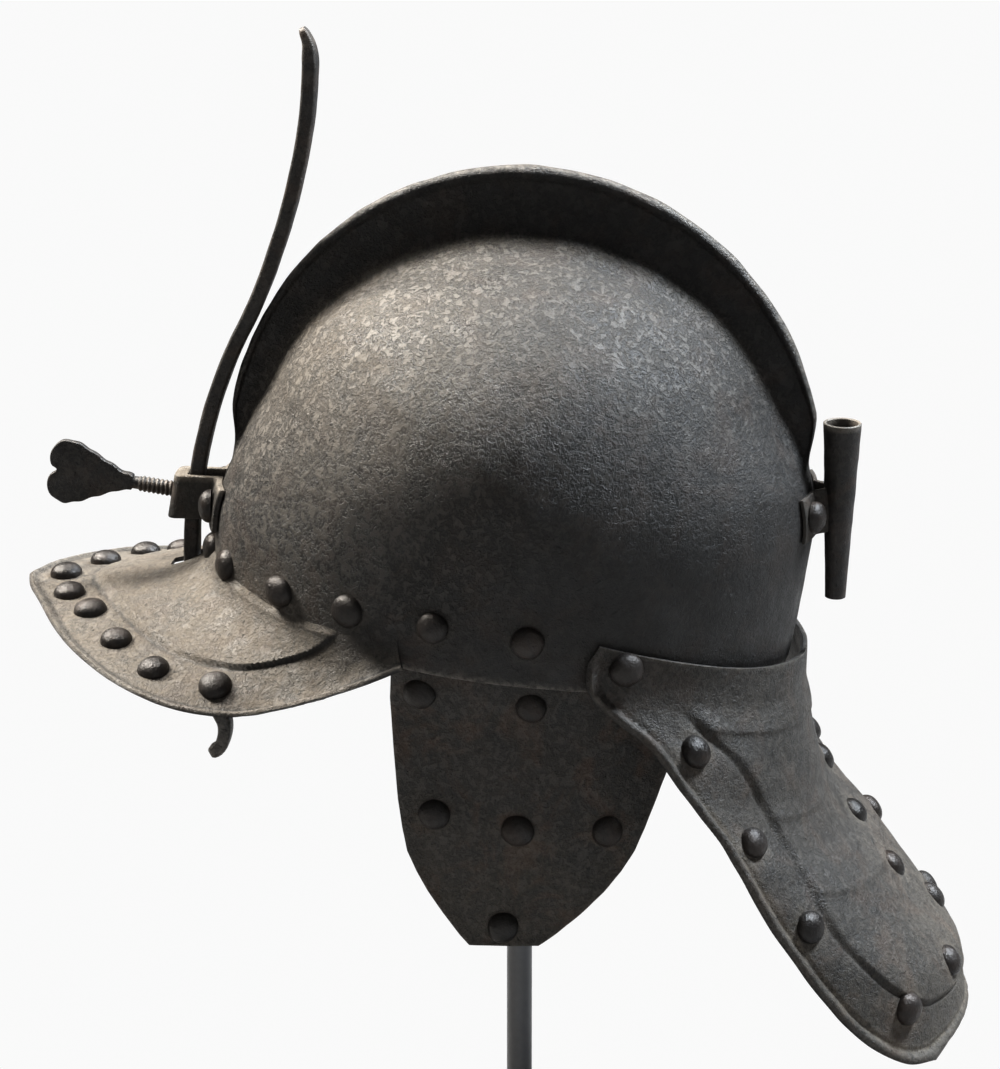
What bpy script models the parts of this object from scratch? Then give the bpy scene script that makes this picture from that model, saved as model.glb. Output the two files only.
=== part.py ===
"""A lobster-tail pot helmet on a plain display stand.

Metres, Z up. The helmet's front faces -Y and its wearer's left is +X.
The origin is the centre of the stand base's underside.
The helmet's tables hold shares: X of BOWL_HALF_WIDTH, Y of BOWL_HALF_LENGTH, Z of HELMET_RISE,
all from the helmet's middle, a point on the stand's axis HELMET_LIFT above the floor.
"""

import bmesh
import bpy
import numpy as np
from mathutils import Matrix, Vector
from mathutils.bvhtree import BVHTree

# Helmet sizes
BOWL_HALF_WIDTH = 0.094
BOWL_HALF_LENGTH = 0.1175
HELMET_RISE = 0.094
BOWL_CROWN = 0.0885
BOWL_DEPTH = 0.280
BOWL_LEAN = 0.10
COMB_HALF_LENGTH = BOWL_HALF_LENGTH - 0.0010
COMB_HEIGHT = BOWL_CROWN + 0.0310
COMB_SHIFT = 0.0015
HELMET_LIFT = 0.300
SKULL_PLATE = 0.0018
TAIL_PLATE = 0.0016
CHEEK_PLATE = 0.0015
BEAD = 0.0013
RIVET_RADIUS = 0.0064
RIVET_HEIGHT = 0.0046
SHANK_RADIUS = 0.0028
BAR_GAP = 0.0005
BAR_STANDOFF = 0.0129
JOINT_GAP = 0.0004

# Nasal bar, bracket and screw sizes
BAR_WIDTH = 0.0090
BAR_DEPTH = 0.0060
STRAP_THICKNESS = 0.0024
STRAP_FRONT = 0.0052
STRAP_TILT = 0.17
SCREW_RADIUS = 0.0032
SCREW_PITCH = 0.0018
SCREW_LENGTH = 0.0215
SCREW_TILT = 0.135
HEART_THICKNESS = 0.0030
HEART_LENGTH = 0.034

# Plume holder sizes
TUBE_TOP_RADIUS = 0.0074
TUBE_BOTTOM_RADIUS = 0.0040
TUBE_WALL = 0.0012

# Stand sizes
BASE_RADIUS = 0.095
BASE_THICKNESS = 0.008
POLE_RADIUS = 0.0050
REST_RADIUS = 0.034
REST_THICKNESS = 0.012
REST_SEAT = 0.0004

# The bowl's edge: a plane, its height at the middle and its fall to the rear, as shares.
RIM_HEIGHT = -0.638
RIM_FALL = 0.11

# Comb section: distance from the middle plane in metres, share of the comb's height outside and inside.
COMB_SECTION = np.array(
    [
        (0.0000, 1.00, 0.42),
        (0.0022, 0.99, 0.30),
        (0.0030, 0.91, 0.20),
        (0.0028, 0.82, 0.16),
        (0.0018, 0.75, 0.14),
        (0.0021, 0.50, 0.12),
        (0.0036, 0.30, 0.10),
        (0.0068, 0.14, 0.05),
        (0.0115, 0.05, 0.02),
        (0.0180, 0.00, 0.00),
    ]
)
# Below this height the comb's section opens out flat.
COMB_FULL_RISE = 0.006

# The peak's edge from the middle to the temple: X, Y, Z.
PEAK_EDGE = np.array(
    [
        (0.000, -1.670, -0.565),
        (0.149, -1.641, -0.574),
        (0.324, -1.580, -0.589),
        (0.495, -1.517, -0.614),
        (0.628, -1.461, -0.637),
        (0.729, -1.405, -0.657),
        (0.819, -1.345, -0.678),
        (0.904, -1.281, -0.700),
        (0.973, -1.213, -0.723),
        (1.027, -1.132, -0.748),
        (1.056, -1.034, -0.779),
        (1.064, -0.931, -0.799),
        (1.061, -0.816, -0.805),
        (1.050, -0.686, -0.774),
        (1.032, -0.541, -0.722),
        (1.011, -0.382, -0.656),
        (0.996, -0.273, -0.598),
    ]
)

# Where the peak leaves the wall, by its place along the edge: height on the wall and turn of the wall.
PEAK_ROOT = np.array(
    [
        (0.00, 0.0, -0.330),
        (0.25, 19.0, -0.362),
        (0.50, 38.0, -0.426),
        (0.75, 56.0, -0.457),
        (1.00, 71.0, -0.468),
    ]
)

# The neck guard's rows from the top down: middle Y and Z, edge X, Y and Z, half angle of the
# arch in degrees, and how far the old plate has been wrung: its left side is pushed forward.
TAIL_ROWS = np.array(
    [
        (0.962, -0.739, 0.932, 0.357, -0.479, 64, 0),
        (0.963, -0.809, 0.940, 0.326, -0.564, 64, 0),
        (0.962, -0.872, 0.943, 0.324, -0.655, 64, 0),
        (0.962, -0.936, 0.940, 0.357, -0.711, 64, 0),
        (0.964, -1.021, 0.936, 0.462, -0.805, 65, 0.01),
        (0.974, -1.117, 0.926, 0.538, -0.899, 66, 0.02),
        (0.986, -1.213, 0.920, 0.592, -1.000, 66, 0.03),
        (1.009, -1.319, 0.915, 0.650, -1.085, 66, 0.045),
        (1.047, -1.426, 0.904, 0.724, -1.197, 66, 0.06),
        (1.102, -1.537, 0.894, 0.798, -1.303, 66, 0.075),
        (1.170, -1.649, 0.878, 0.866, -1.436, 65, 0.09),
        (1.251, -1.761, 0.856, 0.928, -1.574, 64, 0.1),
        (1.332, -1.872, 0.830, 0.987, -1.702, 62, 0.11),
        (1.409, -1.984, 0.803, 1.053, -1.824, 60, 0.12),
        (1.468, -2.085, 0.771, 1.106, -1.926, 58, 0.125),
        (1.489, -2.170, 0.734, 1.163, -2.022, 56, 0.13),
        (1.500, -2.239, 0.681, 1.223, -2.131, 54, 0.13),
        (1.505, -2.298, 0.606, 1.306, -2.250, 50, 0.13),
        (1.503, -2.340, 0.500, 1.403, -2.347, 46, 0.13),
        (1.498, -2.372, 0.362, 1.476, -2.381, 40, 0.13),
    ]
)

# The left cheek piece's rows from the top down: Z, front Y, rear Y.
CHEEK_ROWS = np.array(
    [
        (-0.553, -0.306, 0.494),
        (-0.638, -0.328, 0.536),
        (-0.745, -0.334, 0.562),
        (-0.915, -0.328, 0.566),
        (-1.074, -0.319, 0.551),
        (-1.191, -0.313, 0.519),
        (-1.324, -0.298, 0.481),
        (-1.415, -0.283, 0.451),
        (-1.500, -0.254, 0.409),
        (-1.585, -0.217, 0.355),
        (-1.681, -0.164, 0.277),
        (-1.771, -0.111, 0.191),
        (-1.814, -0.081, 0.145),
    ]
)
CHEEK_HALF_WIDTH = 0.899
CHEEK_LEAN = 0.055
CHEEK_TUCK = (-0.851, -0.606)
CHEEK_STANDOFF = 0.0012

# The nasal bar's lower part is an arc about this point, between two heights: Y, Z and half-length.
BAR_CENTRE_HEIGHT = -0.447
BAR_ARC_RADIUS = 0.2124
BAR_ARC_HEIGHTS = (-1.106, 0.660)
# Its free upper part from the top down, and its curled lower end: Y, Z.
BAR_TOP = np.array(
    [
        (-0.718, 1.819),
        (-0.698, 1.761),
        (-0.692, 1.691),
        (-0.693, 1.596),
        (-0.703, 1.440),
        (-0.729, 1.270),
        (-0.759, 1.101),
        (-0.799, 0.930),
        (-0.845, 0.771),
    ]
)
BAR_CURL = np.array(
    [
        (-1.006, -1.181),
        (-1.009, -1.245),
        (-1.026, -1.290),
        (-1.055, -1.314),
    ]
)

# Lining rivets on the bowl: turn from the front in degrees, height.
BOWL_RIVETS = np.array(
    [
        (5.9, -0.369),
        (20.3, -0.355),
        (40, -0.366),
        (58.3, -0.385),
        (79.2, -0.412),
        (101.7, -0.463),
    ]
)
# Rivets on the peak and the neck guard: place along, place across. On the cheek piece: Z, Y.
PEAK_RIVETS = ((0.075, 0.87), (0.15, 0.83), (0.28, 0.81), (0.45, 0.80), (0.59, 0.73))
TAIL_RIVETS = (
    (0.25, 0.79),
    (0.45, 0.75),
    (0.61, 0.77),
    (0.80, 0.55),
    (0.25, -0.79),
    (0.45, -0.75),
    (0.585, -0.70),
    (0.70, -0.58),
    (0.84, -0.62),
    (0.42, -0.24),
    (0.50, -0.24),
    (0.58, -0.16),
    (0.74, 0.10),
)
# The raised field on the neck guard: place along, half its width as a place across.
FIELD_EDGE = np.array(
    [
        (0.00, 0.74),
        (0.19, 0.69),
        (0.27, 0.62),
        (0.37, 0.55),
        (0.45, 0.54),
        (0.54, 0.60),
        (0.62, 0.66),
        (0.70, 0.64),
        (0.78, 0.56),
        (1.00, 0.56),
    ]
)
CHEEK_RIVETS = (
    (-0.713, -0.233),
    (-0.762, 0.127),
    (-1.248, -0.192),
    (-1.305, 0.081),
    (-1.321, 0.365),
    (-1.733, 0.030),
)
SLOT_HEIGHT = -0.505
PIVOT = (0.382, -0.567)
BRACKET_FOOT = (0.181, -0.173)
PLUME_FOOT = (0.154, -0.134)
BRACKET_HEIGHT = (-0.264, -0.077)
SCREW_SEAT = (-1.183, -0.155)
PLUME_TOP = (1.069, 0.231)
PLUME_BOTTOM = (1.054, -0.520)

IRON = ("patinated iron", (0.030, 0.027, 0.024), 0.62)
RIVET_IRON = ("rivet iron", (0.022, 0.021, 0.020), 0.45)
STAND_STEEL = ("stand steel", (0.150, 0.152, 0.155), 0.45)


# The nasal bar's section: shares of half its width and half its depth.
BAR_SECTION = (
    (1, 0.55),
    (0.72, 1),
    (-0.72, 1),
    (-1, 0.55),
    (-1, -0.55),
    (-0.72, -1),
    (0.72, -1),
    (1, -0.55),
)


def clear_scene():
    for item in list(bpy.data.objects):
        bpy.data.objects.remove(item, do_unlink=True)


def material(name, look):
    """One Principled material."""
    label, colour, roughness = look
    made = bpy.data.materials.new(f"{name} {label}")
    made.use_nodes = True
    shader = made.node_tree.nodes["Principled BSDF"]
    shader.inputs["Base Color"].default_value = (*colour, 1.0)
    shader.inputs["Metallic"].default_value = 0.85
    shader.inputs["Roughness"].default_value = roughness
    return made


def solid(name, points, faces, look=IRON):
    """A mesh object with its faces turned outwards."""
    mesh = bpy.data.meshes.new(name)
    mesh.from_pydata([tuple(map(float, point)) for point in points], [], faces)
    shape = bmesh.new()
    shape.from_mesh(mesh)
    bmesh.ops.remove_doubles(shape, verts=shape.verts, dist=1e-6)
    bmesh.ops.recalc_face_normals(shape, faces=shape.faces)
    shape.to_mesh(mesh)
    shape.free()
    made = bpy.data.objects.new(name, mesh)
    bpy.context.scene.collection.objects.link(made)
    mesh.materials.append(material(name, look))
    return made


def helper(made):
    """Marks an object as a Boolean's tool."""
    made.hide_render = True
    made.display_type = "WIRE"
    return made


def boolean(target, tool, operation):
    step = target.modifiers.new(tool.name, "BOOLEAN")
    step.object = helper(tool)
    step.operation = operation
    step.solver = "EXACT"


def to_metres(x, y, z):
    """Shares of the helmet's sizes as a point in metres."""
    return np.stack(
        np.broadcast_arrays(
            x * BOWL_HALF_WIDTH, y * BOWL_HALF_LENGTH, HELMET_LIFT + z * HELMET_RISE
        ),
        axis=-1,
    )


def sheet_normals(points):
    """Unit normals of a grid of points."""
    along = np.gradient(points, axis=0)
    across = np.gradient(points, axis=1)
    normals = np.cross(along, across)
    return normals / np.maximum(np.linalg.norm(normals, axis=2, keepdims=True), 1e-12)


def grid_faces(rows, columns, start=0):
    return [
        (
            start + row * columns + column,
            start + row * columns + column + 1,
            start + (row + 1) * columns + column + 1,
            start + (row + 1) * columns + column,
        )
        for row in range(rows - 1)
        for column in range(columns - 1)
    ]


def plate(name, outside, inside, look=IRON):
    """A closed solid between two grids of points."""
    rows, columns = outside.shape[:2]
    count = rows * columns
    points = np.concatenate([outside.reshape(-1, 3), inside.reshape(-1, 3)])
    faces = grid_faces(rows, columns) + grid_faces(rows, columns, count)
    border = [(0, column) for column in range(columns)]
    border += [(row, columns - 1) for row in range(1, rows)]
    border += [(rows - 1, column) for column in range(columns - 2, -1, -1)]
    border += [(row, 0) for row in range(rows - 2, 0, -1)]
    loop = [row * columns + column for row, column in border]
    for first, second in zip(loop, loop[1:] + loop[:1]):
        faces.append((first, second, second + count, first + count))
    return solid(name, points, faces, look)


def loft(name, rings, look=IRON):
    """A closed solid through rings of points, with flat ends."""
    rings = np.asarray(rings)
    count, around = rings.shape[:2]
    faces = [tuple(range(around)), tuple(range((count - 1) * around, count * around))]
    for ring in range(count - 1):
        for step in range(around):
            after = (step + 1) % around
            base = ring * around
            faces.append((base + step, base + after, base + around + after, base + around + step))
    return solid(name, rings.reshape(-1, 3), faces, look)


def circle(centre, axis, radius, count, start=0.0):
    """Points of a circle about an axis."""
    turn = Vector(axis).to_track_quat("Z", "Y")
    angles = start + np.linspace(0, 2 * np.pi, count, endpoint=False)
    return [
        tuple(Vector(centre) + turn @ Vector((radius * np.cos(a), radius * np.sin(a), 0)))
        for a in angles
    ]


def turned(name, start, axis, profile, count, look=IRON):
    """A closed solid turned about an axis from (distance, radius) pairs."""
    axis = Vector(axis).normalized()
    rings = [circle(Vector(start) + axis * along, axis, radius, count) for along, radius in profile]
    return loft(name, rings, look)


def domes(name, places, radius=RIVET_RADIUS, height=RIVET_HEIGHT, sunk=0.0008, count=8):
    """Rivet heads as one mesh of separate closed bodies."""
    levels = ((-sunk, 0.97), (0.0, 1.0), (0.50, 0.86), (0.86, 0.48))
    points, faces = [], []
    for centre, normal in places:
        axis = Vector(normal).normalized()
        base = len(points)
        for along, share in levels:
            distance = along if along <= 0 else along * height
            points += circle(Vector(centre) + axis * distance, axis, radius * share, count)
        points.append(tuple(Vector(centre) + axis * height))
        top = base + count * len(levels)
        faces.append(tuple(range(base, base + count)))
        for ring in range(len(levels) - 1):
            for step in range(count):
                after = (step + 1) % count
                row = base + ring * count
                faces.append((row + step, row + after, row + count + after, row + count + step))
        last = top - count
        faces += [(last + step, last + (step + 1) % count, top) for step in range(count)]
    return solid(name, points, faces, RIVET_IRON)


def rivet(name, centre, normal, length):
    """A domed head on a short shank that stops inside the plates."""
    axis = Vector(normal).normalized()
    shank = RIVET_RADIUS * 0.45
    profile = ((-length, shank), (0.0, shank), (0.0, RIVET_RADIUS), (0.0012, RIVET_RADIUS))
    profile += ((0.0030, RIVET_RADIUS * 0.80), (RIVET_HEIGHT, RIVET_RADIUS * 0.28))
    return turned(name, centre, axis, profile, 12, RIVET_IRON)


def inside_bowl(x, y, z, inset=0.0):
    """Below 1 inside the bowl's wall, or an inset inside it; metres from the helmet's middle."""
    depth = np.where(z > 0, BOWL_CROWN, BOWL_DEPTH) - inset
    lean = np.where(z > 0, 0.0, BOWL_LEAN * z)
    across = x / (BOWL_HALF_WIDTH - inset)
    along = (y - lean) / (BOWL_HALF_LENGTH - inset)
    return across**2 + along**2 + (z / depth) ** 2


def reach(start, direction, side=0.0, inset=0.0):
    """Distance from the start along a direction to the bowl's wall, or an inset inside it."""
    low, high = 0.0, 0.6
    for _ in range(40):
        middle = (low + high) / 2
        point = start + direction * middle
        if inside_bowl(point[0] + side, point[1], point[2], inset) < 1.0:
            low = middle
        else:
            high = middle
    return low


def wall_point(turn, z):
    """The bowl's outer wall at a turn from the front in degrees and a height share, and its normal."""
    height = z * HELMET_RISE
    angle = np.radians(turn)
    start = np.array((0.0, BOWL_LEAN * min(height, 0.0), height))
    spread = np.array((np.sin(angle), -np.cos(angle), 0.0))
    point = start + spread * reach(start, spread)
    step = 1e-5
    slope = [
        inside_bowl(*(point + offset)) - inside_bowl(*(point - offset)) for offset in np.eye(3) * step
    ]
    normal = np.array(slope) / np.linalg.norm(slope)
    return point + np.array((0, 0, HELMET_LIFT)), normal


def comb_rise(angle, centre, bowl):
    """The comb's height above the bowl along a ray in the middle plane."""
    spread = np.array((0.0, -np.cos(angle), np.sin(angle)))
    low, high = 0.0, 0.6
    for _ in range(40):
        middle = (low + high) / 2
        point = centre + spread * middle
        if ((point[1] - COMB_SHIFT) / COMB_HALF_LENGTH) ** 2 + (point[2] / COMB_HEIGHT) ** 2 < 1.0:
            low = middle
        else:
            high = middle
    point = centre + spread * bowl
    slope = np.degrees(np.arctan2(point[2], abs(point[1])))
    fade = np.clip((slope + 8.0) / 16.0, 0.0, 1.0)
    return max(low - bowl, 0.0) * fade * fade * (3 - 2 * fade)


def bowl_grid(name, inset, turns, sides, column):
    """The bowl with its comb as a closed surface about a point below its edge."""
    centre = np.array((0.0, 0.0, -1.06 * HELMET_RISE))
    flat = np.linspace(0.0, COMB_SECTION[-1, 0], len(COMB_SECTION))
    rings = []
    for angle in turns:
        spread = np.array((0.0, -np.cos(angle), np.sin(angle)))
        bowl = reach(centre, spread)
        rise = comb_rise(angle, centre, bowl)
        half = []
        full = min(rise / COMB_FULL_RISE, 1.0)
        middle = flat + (COMB_SECTION[:, 0] - flat) * full
        for index, side in enumerate(middle):
            if column == 2 and index in (1, 3, 5, 7):
                continue
            wall = reach(centre, spread, side, inset) + rise * COMB_SECTION[index, column]
            half.append(centre + spread * wall + np.array((side, 0, 0)))
        first = np.arctan2(middle[-1], reach(centre, spread, middle[-1]))
        for share in np.linspace(0, 1, sides + 1)[1:]:
            tilt = first + (np.pi / 2 - first) * share
            ray = spread * np.cos(tilt) + np.array((np.sin(tilt), 0, 0))
            half.append(centre + ray * reach(centre, ray, 0.0, inset))
        half = np.array(half)
        mirrored = half[:0:-1] * np.array((-1, 1, 1))
        rings.append(np.concatenate([mirrored, half]))
    rings = np.array(rings) + np.array((0, 0, HELMET_LIFT))
    around, columns = rings.shape[:2]
    faces = []
    for row in range(around):
        after = (row + 1) % around
        for step in range(columns - 1):
            corners = (row * columns + step, row * columns + step + 1)
            corners += (after * columns + step + 1, after * columns + step)
            faces.append(corners)
    return solid(name, rings.reshape(-1, 3), faces)


def bowl_turns(step):
    above = np.radians(np.arange(12.0, 172.0, step))
    below = np.radians(np.arange(190.0, 360.0, 24.0))
    return np.concatenate([above, below])


def peak_point(along, share):
    """A point of the peak: along from the middle (0) to the temple (1), share from wall to edge."""
    side = 1.0 if along >= 0 else -1.0
    along = abs(along)
    places = np.linspace(0, 1, len(PEAK_EDGE))
    edge = to_metres(*(np.interp(along, places, PEAK_EDGE[:, axis]) for axis in range(3)))
    turn = np.interp(along, PEAK_ROOT[:, 0], PEAK_ROOT[:, 1])
    height = np.interp(along, PEAK_ROOT[:, 0], PEAK_ROOT[:, 2])
    wall, normal = wall_point(turn, height)
    start = wall - normal * SKULL_PLATE * 0.5
    reach_out = np.linalg.norm(edge - start)
    down = start + np.array((0, -0.02, -1.0)) * min(0.45 * reach_out, 0.016)
    outward = (edge - down) * np.array((1, 1, 0.55))
    inward = edge - outward * 0.55
    t = share
    point = (
        start * (1 - t) ** 3
        + down * 3 * t * (1 - t) ** 2
        + inward * 3 * t * t * (1 - t)
        + edge * t**3
    )
    return point * np.array((side, 1, 1))


def peak_sheet():
    along = np.linspace(-1, 1, 21)
    share = np.array((0.0, 0.12, 0.24, 0.36, 0.50, 0.63, 0.67, 0.82, 0.94, 0.965, 1.0))
    sheet = np.array([[peak_point(a, s) for s in share] for a in along])
    normals = sheet_normals(sheet)
    normals *= np.where(normals[:, 3:4, 2:3].mean() > 0, 1.0, -1.0)
    return along, share, sheet, normals


def make_peak():
    """The peak's plate, with a raised field and a turned edge."""
    along, share, sheet, normals = peak_sheet()
    raised = np.where((share < 0.65) & (share > 0.3), 0.0010, 0.0)
    turned_edge = np.where(share > 0.95, BEAD * 0.7, 0.0)
    ends = 1.0 - np.clip((np.abs(along) - 0.8) / 0.15, 0, 1)
    height = SKULL_PLATE * 0.5 + raised[None, :] * ends[:, None] + turned_edge[None, :]
    outside = sheet + normals * height[..., None]
    inside = sheet - normals * SKULL_PLATE * 0.5
    return plate("peak", outside, inside)


def make_skull():
    """Bowl, comb and peak in one piece, hollow and open below."""
    skull = bowl_grid("skull", 0.0, bowl_turns(6.4), 9, 1)
    hollow = bowl_grid("skull_hollow", SKULL_PLATE, bowl_turns(9.0), 8, 2)
    reach_side = 1.6
    bottom = -1.25 * BOWL_DEPTH / HELMET_RISE
    corners = []
    for y in (-reach_side * 1.4, reach_side):
        rim = RIM_HEIGHT - RIM_FALL * y * BOWL_HALF_LENGTH / HELMET_RISE
        for z in (rim, bottom):
            corners += [to_metres(x, y, z) for x in (-reach_side, reach_side)]
    faces = [(0, 1, 3, 2), (4, 5, 7, 6), (0, 1, 5, 4), (2, 3, 7, 6), (0, 2, 6, 4), (1, 3, 7, 5)]
    below = solid("skull_edge_cut", corners, faces)
    boolean(skull, below, "DIFFERENCE")
    boolean(skull, hollow, "DIFFERENCE")
    boolean(skull, make_peak(), "UNION")
    heads = []
    for turn, z in BOWL_RIVETS:
        for side in (-1, 1):
            centre, normal = wall_point(turn, z)
            mirror = np.array((side, 1, 1))
            heads.append((centre * mirror, normal * mirror))
    heads += surface_heads(peak_point, PEAK_RIVETS, SKULL_PLATE * 0.5)
    boolean(skull, domes("skull_rivets", heads), "UNION")
    slot_z = SLOT_HEIGHT * HELMET_RISE
    slot = np.array((0.0, bar_arc_y(slot_z), HELMET_LIFT + slot_z))
    half = np.array((BAR_WIDTH * 0.5 + BAR_GAP, BAR_DEPTH * 0.5 + 0.0050, 0.014))
    boolean(skull, box("peak_slot", slot - half, slot + half), "DIFFERENCE")
    return skull


def surface_heads(surface, places, lift):
    """Rivet places on a surface given as a function of two numbers, mirrored on the peak."""
    heads = []
    for along, across in places:
        step = 0.004
        centre = surface(along, across)
        first = surface(along + step, across) - surface(along - step, across)
        second = surface(along, across + step) - surface(along, across - step)
        normal = np.cross(first, second)
        normal = normal / np.linalg.norm(normal)
        outward = centre - np.array((0, 0, HELMET_LIFT - HELMET_RISE))
        if surface is peak_point:
            outward = np.array((0, -0.2, 1.0))
        if surface is tail_point:
            outward = np.array((centre[0], 0.2, 0.1))
        if normal @ outward < 0:
            normal = -normal
        sides = (1,) if surface is tail_point else (1, -1)
        for side in sides:
            mirror = np.array((side, 1, 1))
            heads.append(((centre + normal * lift) * mirror, normal * mirror))
    return heads


def box(name, low, high, look=IRON):
    ends = tuple(zip(low, high))
    corners = [(x, y, z) for x in ends[0] for y in ends[1] for z in ends[2]]
    faces = [(0, 1, 3, 2), (4, 5, 7, 6), (0, 1, 5, 4), (2, 3, 7, 6), (0, 2, 6, 4), (1, 3, 7, 5)]
    return solid(name, corners, faces, look)


def tail_point(along, across):
    """A point of the neck guard: along from the top (0) to the end (1), across from -1 to 1."""
    places = np.linspace(0, 1, len(TAIL_ROWS))
    row = [np.interp(along, places, TAIL_ROWS[:, column]) for column in range(7)]
    middle_y, middle_z, edge_x, edge_y, edge_z, arch, wring = row
    angle = np.radians(arch)
    x = edge_x * np.sin(across * angle) / np.sin(angle)
    mix = (1 - np.cos(across * angle)) / (1 - np.cos(angle))
    y = middle_y + (edge_y - middle_y) * mix - wring * x * BOWL_HALF_WIDTH / BOWL_HALF_LENGTH
    return to_metres(x, y, middle_z + (edge_z - middle_z) * mix)


def field_place(along, step):
    """The place across for a step: 0 the middle, 1 the raised field's edge, 2 the plate's edge."""
    edge = np.interp(along, FIELD_EDGE[:, 0], FIELD_EDGE[:, 1])
    return np.sign(step) * np.interp(abs(step), (0.0, 1.0, 2.0), (0.0, edge, 1.0))


def make_neck_guard():
    """The tail: one plate with a turned edge and a raised field with false lames."""
    along = np.linspace(0, 1, 16)
    along = np.insert(along, -1, 0.975)
    half = np.array((0.0, 0.33, 0.66, 0.98, 1.04, 1.5, 1.86, 1.90, 2.0))
    steps = np.concatenate([-half[:0:-1], half])
    sheet = np.array([[tail_point(a, field_place(a, c)) for c in steps] for a in along])
    normals = sheet_normals(sheet)
    if normals[6, len(steps) // 2, 1] < 0:
        normals = -normals
    side_edge = np.where(np.abs(steps) > 1.88, 1.0, 0.0)[None, :]
    end_edge = np.where(along > 0.96, 1.0, 0.0)[:, None]
    field = np.where(np.abs(steps) < 1.0, 1.0, 0.0)[None, :]
    field = field * np.where((along > 0.14) & (along < 0.78), 1.0, 0.0)[:, None]
    height = np.maximum(side_edge, end_edge) * BEAD + field * 0.0012
    outside = sheet + normals * height[..., None]
    inside = sheet - normals * TAIL_PLATE
    guard = plate("neck_guard", outside, inside)
    heads = surface_heads(tail_point, TAIL_RIVETS, 0.0)
    boolean(guard, domes("neck_guard_rivets", heads), "UNION")
    for side in (1, -1):
        hole = pivot_shank(f"pivot_hole_{side + 1}", side, SHANK_RADIUS + JOINT_GAP, 0.01)
        boolean(guard, hole, "DIFFERENCE")
    return guard


def cheek_point(along, across):
    """A point of the left cheek piece: along from the top (0) to the end (1), across from 0 to 1."""
    places = np.linspace(0, 1, len(CHEEK_ROWS))
    z, front, rear = (np.interp(along, places, CHEEK_ROWS[:, column]) for column in range(3))
    y = front + (rear - front) * across
    half_width = CHEEK_HALF_WIDTH + CHEEK_LEAN * (z - CHEEK_ROWS[0, 0])
    x, y, height = to_metres(half_width * np.sqrt(1 - ((y + 0.08) / 0.955) ** 2), y, z)
    low, high = CHEEK_TUCK
    tucked = np.clip((z - low) / (high - low), 0.0, 1.0)
    tucked = tucked * tucked * (3 - 2 * tucked)
    wall = side_wall(y, z * HELMET_RISE) - SKULL_PLATE - CHEEK_STANDOFF
    return np.array((x + (wall - x) * tucked, y, height))


def side_wall(y, z):
    """The bowl's outer wall in X at a place, in metres from the helmet's middle."""
    along = (y - BOWL_LEAN * z) / BOWL_HALF_LENGTH
    return BOWL_HALF_WIDTH * np.sqrt(1 - along**2 - (z / BOWL_DEPTH) ** 2)


def make_cheek_piece(side):
    """A hanging ear plate with its rivets."""
    name = "cheek_piece_left" if side > 0 else "cheek_piece_right"
    along = np.linspace(0, 1, 13)
    across = np.array((0.0, 0.04, 0.2, 0.4, 0.6, 0.8, 0.96, 1.0))
    sheet = np.array([[cheek_point(a, c) for c in across] for a in along])
    normals = sheet_normals(sheet)
    if normals[5, 4, 0] < 0:
        normals = -normals
    turned_edge = np.where((across < 0.02) | (across > 0.98), 0.0006, 0.0)[None, :]
    turned_edge = turned_edge * np.where(along > 0.1, 1.0, 0.0)[:, None]
    outside = sheet + normals * turned_edge[..., None]
    inside = sheet - normals * CHEEK_PLATE
    mirror = np.array((side, 1, 1))
    piece = plate(name, outside * mirror, inside * mirror)
    heads = []
    for z, y in CHEEK_RIVETS:
        front, rear = (np.interp(-z, -CHEEK_ROWS[:, 0], CHEEK_ROWS[:, column]) for column in (1, 2))
        place = np.interp(-z, -CHEEK_ROWS[:, 0], np.linspace(0, 1, len(CHEEK_ROWS)))
        centre = cheek_point(place, (y - front) / (rear - front))
        normal = np.array((1.0, 0.35 * (centre[1] / BOWL_HALF_LENGTH), 0.06))
        heads.append((centre * mirror, normal * mirror))
    boolean(piece, domes(f"{name}_rivets", heads, height=RIVET_HEIGHT * 0.85), "UNION")
    return piece


def bar_centre():
    """The middle of the nasal bar's arc, in metres from the helmet's middle."""
    forward = BOWL_HALF_LENGTH + BAR_STANDOFF
    return np.array((0.0, BAR_ARC_RADIUS - forward, BAR_CENTRE_HEIGHT * HELMET_RISE))


def set_origin(piece, origin):
    """Moves a piece's origin and leaves its shape in place."""
    piece.data.transform(Matrix.Translation(-Vector(origin)))
    piece.location = origin


def bar_arc_y(z):
    """The nasal bar's middle in Y at a height of its arc, both in metres from the helmet's middle."""
    _, centre_y, centre_z = bar_centre()
    return centre_y - np.sqrt(BAR_ARC_RADIUS**2 - (z - centre_z) ** 2)


def bar_line():
    """The nasal bar's middle line in metres, from the top down."""
    low, high = (share * HELMET_RISE for share in BAR_ARC_HEIGHTS)
    arc = [(0.0, bar_arc_y(z), HELMET_LIFT + z) for z in np.linspace(high, low, 13)]
    top = to_metres(0.0, BAR_TOP[:, 0], BAR_TOP[:, 1])
    curl = to_metres(0.0, BAR_CURL[:, 0], BAR_CURL[:, 1])
    return np.concatenate([top, np.array(arc), curl])


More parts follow.
